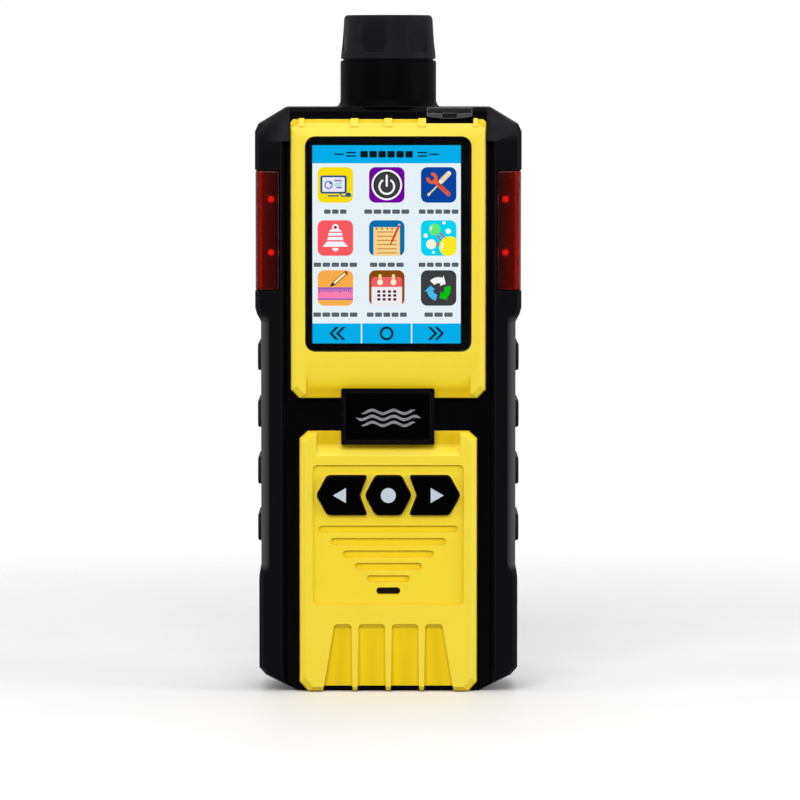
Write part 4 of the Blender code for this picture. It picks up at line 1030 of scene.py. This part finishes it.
LIGHTS = {
    "cyan": (0, 176, 238),
    "paper": (236, 247, 253),
    "yellow": (255, 226, 8),
    "deep_teal": (0, 80, 132),
    "lilac": (238, 234, 245),
    "blue": (48, 88, 202),
    "aqua": (122, 224, 216),
    "purple": (114, 0, 162),
    "white": (253, 253, 255),
    "charcoal": (62, 62, 65),
    "coal": (24, 24, 27),
    "navy": (6, 68, 160),
    "vermilion": (240, 94, 50),
    "cream": (250, 226, 150),
    "amber": (236, 152, 62),
    "coral": (255, 92, 99),
    "crimson": (168, 30, 42),
    "teal": (0, 113, 178),
    "sand": (255, 214, 140),
    "brown": (198, 128, 70),
    "red": (228, 54, 26),
    "sky": (0, 214, 250),
    "lime": (98, 240, 118),
    "ivory": (252, 252, 216),
    "rust": (188, 72, 50),
    "lemon": (255, 238, 38),
    "apricot": (255, 176, 76),
    "pink": (255, 130, 182),
    "violet": (116, 78, 200),
    "umber": (142, 74, 14),
    "rose": (250, 96, 102),
    "page": (246, 241, 245),
    "maroon": (72, 26, 36),
    "azure": (72, 190, 242),
    "green": (0, 198, 12),
    "caption": (92, 99, 108),
    "dark": (12, 24, 34),
}


def monitor_icon():
    """A monitor with a chart on it and a mouse beside it."""
    yield 0, "yellow", TILE
    yield 1, "deep_teal", rounded(-0.1, 0.02, 0.745, 0.51, 0.12)
    yield 2, "lilac", rounded(-0.1, 0.02, 0.63, 0.41, 0.05)
    yield 3, "blue", band(-0.38, 0.0, 0.23, 0.17, 0, 360)
    yield 4, "blue", [(-0.33, 0.05), *arc(-0.33, 0.05, 0.17, 0, 90)]
    lines = ((0.24, -0.06, "violet"), (0.1, 0.0, "aqua"), (-0.02, -0.06, "aqua"), (-0.15, 0.06, "blue"))
    for up, left, colour in lines:
        yield 3, colour, box_outline(left, up - 0.035, 0.36, up + 0.035)
    yield 1, "deep_teal", bar((-0.4, -0.62), (0.18, -0.62), 0.08, True)
    yield 2, "deep_teal", bar((0.26, -0.47), (0.36, -0.62), 0.07, True)
    yield 1, "deep_teal", bar((0.36, -0.64), (0.88, -0.64), 0.07, True)
    yield 2, "deep_teal", arc(0.73, -0.6, 0.17, 0, 180)


def power_icon():
    """The standby sign in a ring."""
    yield 0, "purple", TILE
    yield 1, "white", disc(0, 0, 0.86, 48)
    yield 2, "coal", disc(0, 0, 0.755, 48)
    yield 3, "charcoal", disc(0, 0, 0.69, 48)
    yield 4, "white", band(0, -0.09, 0.47, 0.36, -240, 60, 36)
    yield 5, "coal", bar((0, 0.02), (0, 0.5), 0.2, True)
    yield 6, "white", bar((0, -0.05), (0, 0.52), 0.12, True)


def tools_icon():
    """A spanner crossed with a screwdriver."""
    yield 0, "navy", TILE
    yield 1, "cream", bar((-0.1, -0.08), (-0.52, -0.5), 0.08)
    yield 1, "cream", bar((-0.5, -0.48), (-0.62, -0.6), 0.13)
    yield 1, "ivory", bar((0.14, 0.2), (0.56, 0.64), 0.27, True)
    yield 2, "amber", bar((0.2, 0.18), (0.62, 0.62), 0.05)
    yield 2, "amber", bar((0.1, 0.28), (0.52, 0.72), 0.05)
    yield 3, "vermilion", bar((-0.22, 0.22), (0.55, -0.52), 0.23, True)
    yield 3, "vermilion", band(-0.38, 0.38, 0.32, 0.13, 172, 458, 28)
    yield 4, "crimson", bar((0.0, 0.04), (0.42, -0.36), 0.05, True)
    yield 4, "navy", disc(0.55, -0.52, 0.05, 16)


def bell_icon():
    """A striped bell."""
    yield 0, "coral", TILE
    yield 1, "white", disc(0, 0.6, 0.19)
    yield 2, "crimson", disc(0, 0.6, 0.09, 20)
    crown = [(-0.36, 0.36), (0.36, 0.36), (0.3, 0.46), (0.16, 0.5), (-0.16, 0.5), (-0.3, 0.46)]
    skirt = [(-0.72, -0.49), (0.72, -0.49), (0.62, -0.38), (0.47, -0.2), (-0.47, -0.2)]
    yield 1, "white", crown[::-1]
    yield 1, "white", [(-0.4, 0.13), (0.4, 0.13), (0.38, 0.29), (-0.38, 0.29)]
    yield 1, "white", [(-0.45, -0.12), (0.45, -0.12), (0.42, 0.06), (-0.42, 0.06)]
    yield 1, "white", [*skirt, (-0.62, -0.38)]
    yield 1, "white", arc(0, -0.56, 0.18, 180, 360)


def notes_icon():
    """A spiral-bound notepad and a pen."""
    yield 0, "teal", TILE
    yield 1, "sand", clipped(box_outline(-0.75, -1.0, 0.74, 0.61), TILE)
    for across in (-0.59, -0.27, 0.03, 0.3):
        yield 2, "coal", disc(across, 0.52, 0.045, 14)
    for level in range(6):
        up = 0.34 - 0.236 * level
        right = 0.37 if level == 0 else 0.56
        yield 2, "brown", box_outline(-0.56, up - 0.028, right, up + 0.028)
    yield 3, "red", bar((0.7, 0.72), (0.28, -0.2), 0.11, True)
    yield 3, "ivory", disc(0.7, 0.74, 0.06, 16)
    yield 4, "coal", bar((0.25, -0.27), (0.22, -0.34), 0.06, True)


def molecule_icon():
    """Three atoms of a molecule among bubbles."""
    yield 0, "sky", TILE
    for start, end in (((-0.12, 0.26), (0.18, -0.22)), ((0.04, 0.32), (0.4, -0.02))):
        yield 1, "rust", bar(start, end, 0.075)
    for up in (-0.3, -0.43):
        yield 1, "rust", bar((-0.3, up + 0.02), (0.14, up), 0.06)
    yield 2, "lemon", clipped(disc(0.61, -0.48, 0.58, 48), TILE)
    yield 2, "lime", disc(-0.23, 0.49, 0.34)
    yield 2, "ivory", disc(-0.42, -0.35, 0.28)
    yield 3, "white", band(0.61, -0.48, 0.46, 0.36, 150, 200, 10)
    yield 3, "white", band(-0.23, 0.49, 0.26, 0.17, 130, 195, 10)
    bubbles = ((0.54, 0.39, 0.15), (-0.73, 0.14, 0.12), (0.3, 0.86, 0.09), (-0.29, -0.81, 0.08))
    for across, up, radius in bubbles:
        yield 1, "white", disc(across, up, radius, 20)


def ruler_icon():
    """A pencil over a ruler."""
    yield 0, "apricot", TILE
    yield 1, "pink", clipped(box_outline(-1, -0.67, 1, 0.02), TILE)
    yield 2, "violet", clipped(box_outline(-1, -0.66, 1, -0.6), TILE)
    yield 2, "violet", clipped(box_outline(-1, -0.03, 1, 0.03), TILE)
    for step in range(16):
        across = -0.88 + 0.116 * step
        length = 0.25 if step % 5 == 0 else 0.17
        yield 3, "blue", box_outline(across - 0.028, -0.03 - length, across + 0.028, -0.03)
    yield 1, "umber", bar((0.66, 0.9), (-0.1, 0.24), 0.22)
    yield 2, "cream", bar((0.56, 0.82), (-0.08, 0.26), 0.13)
    yield 3, "white", bar((0.5, 0.8), (-0.05, 0.32), 0.045)
    yield 1, "coal", [(-0.02, 0.16), (-0.17, 0.33), (-0.32, 0.06)]


def calendar_icon():
    """A tear-off calendar with a grid of days."""
    yield 0, "umber", TILE
    yield 1, "rose", clipped(rounded(0, 0.02, 0.86, 0.6, 0.2), TILE)
    yield 2, "page", clipped(box_outline(-0.86, -1.0, 0.86, 0.06), rounded(0, 0, 1.0, 1.0, 0.16))
    for sign in (-1, 1):
        yield 2, "cream", bar((0.375 * sign, 0.36), (0.375 * sign, 0.7), 0.17, True)
        yield 3, "ivory", disc(0.375 * sign, 0.32, 0.16, 24)
    for row in range(3):
        for column in range(4):
            across, up = -0.45 + 0.3 * column, -0.2 - 0.22 * row
            yield 3, "maroon", box_outline(across - 0.085, up - 0.07, across + 0.085, up + 0.07)


def cycle_icon():
    """Three arrows that chase each other round a circle."""
    yield 0, "charcoal", TILE
    for turn, colour in ((90, "white"), (210, "azure"), (330, "green")):
        middle, inner, outer = 0.5, 0.33, 0.67
        yield 1, colour, band(0, -0.06, outer, inner, turn + 46, turn - 22, 14)
        head = math.radians(turn - 20)
        tip = math.radians(turn - 54)
        points = [(r * math.cos(head), r * math.sin(head) - 0.06) for r in (inner - 0.14, outer + 0.14)]
        yield 2, colour, [*points, (middle * math.cos(tip), middle * math.sin(tip) - 0.06)]


TILE = rounded(0, 0, 1, 1, 0.36)
ICONS = (
    (monitor_icon, power_icon, tools_icon),
    (bell_icon, notes_icon, molecule_icon),
    (ruler_icon, calendar_icon, cycle_icon),
)
CAPTION_WIDTHS = ((6.5, 13.0, 11.5), (12.6, 9.8, 11.6), (12.8, 11.6, 8.2))


SCREEN = {}  # the finishes of the lights used so far


def lit_piece(name, shapes):
    """A piece of the display's picture from (level, light, outline) shapes in millimetres."""
    bm = bmesh.new()
    used = []
    for level, light, outline in shapes:
        if light not in used:
            used.append(light)
        back = PICTURE_BACK - LAYER * level
        slab(bm, outline, back, back - LAYER * 0.75, used.index(light))
    for light in used:
        if light not in SCREEN:
            SCREEN[light] = screen_light(f"screen_{light}", srgb(*LIGHTS[light]))
    add_piece(name, bm, [SCREEN[light] for light in used])


def caption(across, up, width, height=1.25):
    """A short broken bar that stands for a line of words."""
    parts = max(2, round(width / 2.4))
    gap = 0.42
    length = (width - gap * (parts - 1)) / parts
    for number in range(parts):
        centre = across - width / 2 + length / 2 + number * (length + gap)
        yield rounded(centre, up, length / 2, height / 2, 0.3, 3)


def display_picture():
    """The lit picture behind the display's glass: bars above and below, and nine tiles with captions."""
    left, low, right, high = PICTURE
    middle = (left + right) / 2
    title_low, bar_high = 153.75, 107.3
    lit_piece("display_page", [(-1, "paper", box_outline(left, low, right, high))])
    title = [(0, "cyan", box_outline(left, title_low, right, high))]
    title_up = (title_low + high) / 2
    title += [(1, "dark", outline) for outline in caption(middle, title_up, 15.2, 1.9)]
    for sign in (-1, 1):
        for near, far, rise in ((8.9, 11.7, -0.5), (8.9, 11.7, 0.5), (12.3, 15.1, 0)):
            ends = [(middle + sign * across, title_up + rise) for across in (near, far)]
            title.append((1, "dark", bar(*ends, 0.42)))
    lit_piece("display_title", title)
    cells = [(left, -7.95), (-7.6, 6.6), (6.95, right)]
    keys = [(0, "cyan", box_outline(start, low, end, bar_high)) for start, end in cells]
    key_up = (low + bar_high) / 2
    for shift in (0, 1.95):
        keys.append((1, "dark", chevron((-17.15 + shift, key_up), 1.9, 0.72, True)))
        keys.append((1, "dark", chevron((16.2 - shift, key_up), 1.9, 0.72, False)))
    keys.append((1, "dark", disc(middle, key_up, 2.0, 36)))
    keys.append((2, "cyan", disc(middle, key_up, 1.35, 36)))
    lit_piece("display_keys", keys)
    for row, (icons, widths, up) in enumerate(zip(ICONS, CAPTION_WIDTHS, TILE_ROWS)):
        for column, (icon, width, across) in enumerate(zip(icons, widths, TILE_COLUMNS)):
            shapes = []
            for level, light, outline in icon():
                outline = [(across + x * TILE_HALF, up + z * TILE_HALF) for x, z in outline]
                shapes.append((level, light, outline))
            shapes += [(0, "caption", outline) for outline in caption(across, up - 7.75, width)]
            lit_piece(f"display_tile_{row}{column}", shapes)


def window_border():
    """The black ink round the display, on the back of its glass."""
    low, high = low_high("display_window")
    left, bottom, right, top = PICTURE
    across, up = (low.x + high.x) / 2, (low.z + high.z) / 2
    half_width, half_height = (high.x - low.x) / 2 - 0.15, (high.z - low.z) / 2 - 0.15
    outer = rounded(across, up, half_width, half_height, 2.5, 8)
    across, up = (left + right) / 2, (bottom + top) / 2
    inner = rounded(across, up, (right - left) / 2, (top - bottom) / 2, 0.05, 8)
    black = ink("black_ink", (0.0006, 0.0006, 0.0007), 0.6, Specular_IOR_Level=0.04)
    bm = plate(outer, high.y + 0.06, high.y + 0.02, inner)
    add_piece("window_border", bm, black)


# ---------------------------------------------------------------- alarm lamps


def alarm_lamps():
    """Two lamps behind each red lens, each in a small white reflector; their chips glow as painted glints,
    though the lamps are off.
    """
    shell = moulded("lamp_reflector", srgb(205, 205, 200), 0.4, 0.3, 0.01, mottle=0.05)
    # The chips' glow is a painted glint; the lamps are not lit.
    glow = {"Emission_Color": (1.0, 0.4, 0.15, 1.0), "Emission_Strength": 3.5}
    glint_chip = ink("lamp_painted_glint", srgb(250, 214, 120), 0.3, **glow)
    for side, sign in (("left", -1), ("right", 1)):
        face = low_high(f"{side}_alarm_board")[0].y
        for number, height in enumerate(LAMP_ROWS, start=1):
            middle = sign * LAMP_ACROSS
            cup, well = rounded(middle, height, 1.3, 1.6, 0.3, 4), disc_like(middle, height, 0.95)
            bm = plate(cup, face - 0.03, face - 0.5, well)
            slab(bm, disc(middle, height, 0.9, 24), face - 0.04, face - 0.12, 1)
            add_piece(f"{side}_lamp_{number}", bm, [shell, glint_chip])


def disc_like(across, up, radius):
    """A circle with as many points as a round-cornered rectangle of four steps has."""
    turns = [math.radians(-90 + 360 * (step + 0.5) / 20) for step in range(20)]
    return [(across + radius * math.cos(turn), up + radius * math.sin(turn)) for turn in turns]


# ---------------------------------------------------------------- sounder, label


def sounder_mesh():
    """A fine dark cloth behind the sound slot."""
    finish = Finish("sounder_cloth", srgb(34, 12, 12), 0.8)
    threads = []
    for axis in ("X", "Z"):
        waves = finish.node("TexWave", {"Vector": finish.place, "Scale": 700.0}, bands_direction=axis)
        threads.append(waves.outputs["Fac"])
    cloth = finish.times(*threads)
    tone = finish.mix(cloth, rgba(srgb(12, 6, 6)), rgba(srgb(60, 18, 16)))
    finish.use(Base_Color=tone, Normal=finish.bump(cloth, 0.05))
    deep = low_high("keypad_bezel")[1].y
    bm = plate(rounded(0, middle_height("buzzer"), 4.3, 1.8, 0.6), deep + 0.2, deep + 0.1)
    add_piece("sounder_cloth", bm, finish.material)


def label_print():
    """A printed frame and empty ruled boxes on the rear label. It carries no words."""
    surface = low_high("rear_label")[1].y
    black = ink("label_ink", srgb(38, 39, 42), 0.5)
    up = middle_height("rear_label")
    half_width, half_height = 18.6, 13.6
    bm = bmesh.new()

    def print_on(outline, hole=None):
        slab(bm, outline, surface - 0.01, surface + 0.02, 0, hole)

    def frame_on(across, height, wide, tall, outer_corner, inner_corner):
        inner = rounded(across, height, wide - 0.3, tall - 0.3, inner_corner)
        print_on(rounded(across, height, wide, tall, outer_corner), inner)

    frame_on(0.0, up, half_width, half_height, 1.0, 0.7)
    for row in range(4):
        level = up + 8.4 - 4.1 * row
        right = half_width - 1.6 - (11.5 if row > 1 else 0)
        print_on(box_outline(-half_width + 1.6, level - 0.12, right, level + 0.12))
    frame_on(half_width - 6.2, up - 6.6, 4.4, 5.0, 0.6, 0.4)
    add_piece("label_print", bm, black)


# ---------------------------------------------------------------- studio


LIT_POINT = Vector((0, 0, 95))  # what the softboxes are turned to


def area_light(name, location, size, power):
    """A softbox, its place and size in millimetres."""
    light = bpy.data.lights.new(name, "AREA")
    light.shape = "RECTANGLE"
    light.size, light.size_y = size[0] * MM, size[1] * MM
    light.energy = power
    lamp = link(name, light)
    lamp.location = Vector(location) * MM
    lamp.rotation_euler = (LIT_POINT - Vector(location)).to_track_quat("-Z", "Y").to_euler()


def studio_floor():
    """A floor that fades into the background. It is pale to the camera and darker as a reflector."""
    finish = Finish("floor", (0.86, 0.86, 0.87), 0.6)
    mottle = finish.ramp(finish.noise(60.0, 3.0), 0.3, 0.7)
    pale = finish.mix(mottle, (0.84, 0.84, 0.85, 1), (0.88, 0.88, 0.885, 1))
    seen = finish.node("LightPath").outputs["Is Camera Ray"]
    finish.use(
        Base_Color=finish.mix(seen, (0.35, 0.35, 0.35, 1), pale),
        Normal=finish.bump(finish.noise(1.2, 3.0), 0.01),
    )
    reach = finish.node("VectorMath", {0: finish.place}, operation="LENGTH").outputs["Value"]
    fade = finish.ramp(reach, 0.16, 0.42)
    clear = finish.node("BsdfTransparent").outputs[0]
    blend = finish.node("MixShader", {"Fac": fade, 1: finish.shader.outputs[0], 2: clear})
    finish.links.new(blend.outputs[0], finish.nodes["Material Output"].inputs["Surface"])
    bm = bmesh.new()
    bmesh.ops.create_circle(bm, cap_ends=True, segments=96, radius=0.45)
    mesh = bpy.data.meshes.new("floor")
    bm.to_mesh(mesh)
    bm.free()
    mesh.materials.append(finish.material)
    floor = link("floor", mesh)
    floor.location.z = -0.0002


def studio_world():
    """White to the camera, and as a light bright behind the object and dim before it."""
    world = bpy.data.worlds.new("studio")
    bpy.context.scene.world = world
    world.use_nodes = True
    nodes, links = world.node_tree.nodes, world.node_tree.links
    background = nodes["Background"]
    background.inputs["Color"].default_value = (1.0, 1.0, 1.0, 1.0)
    direction = nodes.new("ShaderNodeTexCoord")
    parts = nodes.new("ShaderNodeSeparateXYZ")
    links.new(direction.outputs["Generated"], parts.inputs[0])
    depth = nodes.new("ShaderNodeMapRange")
    depth.interpolation_type = "SMOOTHSTEP"
    for key, value in (("From Min", -0.5), ("From Max", 1.0), ("To Min", 0.11), ("To Max", 1.1)):
        depth.inputs[key].default_value = value
    links.new(parts.outputs["Y"], depth.inputs["Value"])
    seen = nodes.new("ShaderNodeLightPath")
    strength = nodes.new("ShaderNodeMix")
    links.new(seen.outputs["Is Camera Ray"], strength.inputs[0])
    links.new(depth.outputs["Result"], strength.inputs[2])
    strength.inputs[3].default_value = 1.0
    links.new(strength.outputs[0], background.inputs["Strength"])


def camera():
    """The photograph's viewing angle, with no depth of field."""
    lens = bpy.data.cameras.new("camera")
    lens.sensor_width = 36.0
    lens.lens = lens.sensor_width * CAMERA_DISTANCE / VIEW_WIDTH
    lens.shift_x = VIEW_SHIFT
    lens.clip_start = 0.01
    eye = link("camera", lens)
    turn = math.radians(CAMERA_ELEVATION)
    away = Vector((0, -math.cos(turn), math.sin(turn))) * CAMERA_DISTANCE
    eye.location = (Vector(CAMERA_TARGET) + away) * MM
    eye.rotation_euler = (-away).to_track_quat("-Z", "Y").to_euler()
    bpy.context.scene.camera = eye


# ---------------------------------------------------------------- assembly

camera()
studio_world()
studio_floor()
area_light("front_softbox", (-120, -1050, 767), (900, 500), 10.8)
area_light("top_softbox", (60, -250, 900), (600, 500), 1.8)
area_light("left_softbox", (-1000, -330, 260), (400, 700), 3.6)
area_light("right_softbox", (1000, -330, 260), (400, 700), 5.6)
bpy.context.scene.view_settings.view_transform = "Standard"

dress_frame()
inlet_cap()
inlet_neck()
usb_cover()
clip_arm()
keycaps()
key_surrounds()
badge()
key_marks()
emblem()
window_border()
display_picture()
alarm_lamps()
sounder_mesh()
label_print()
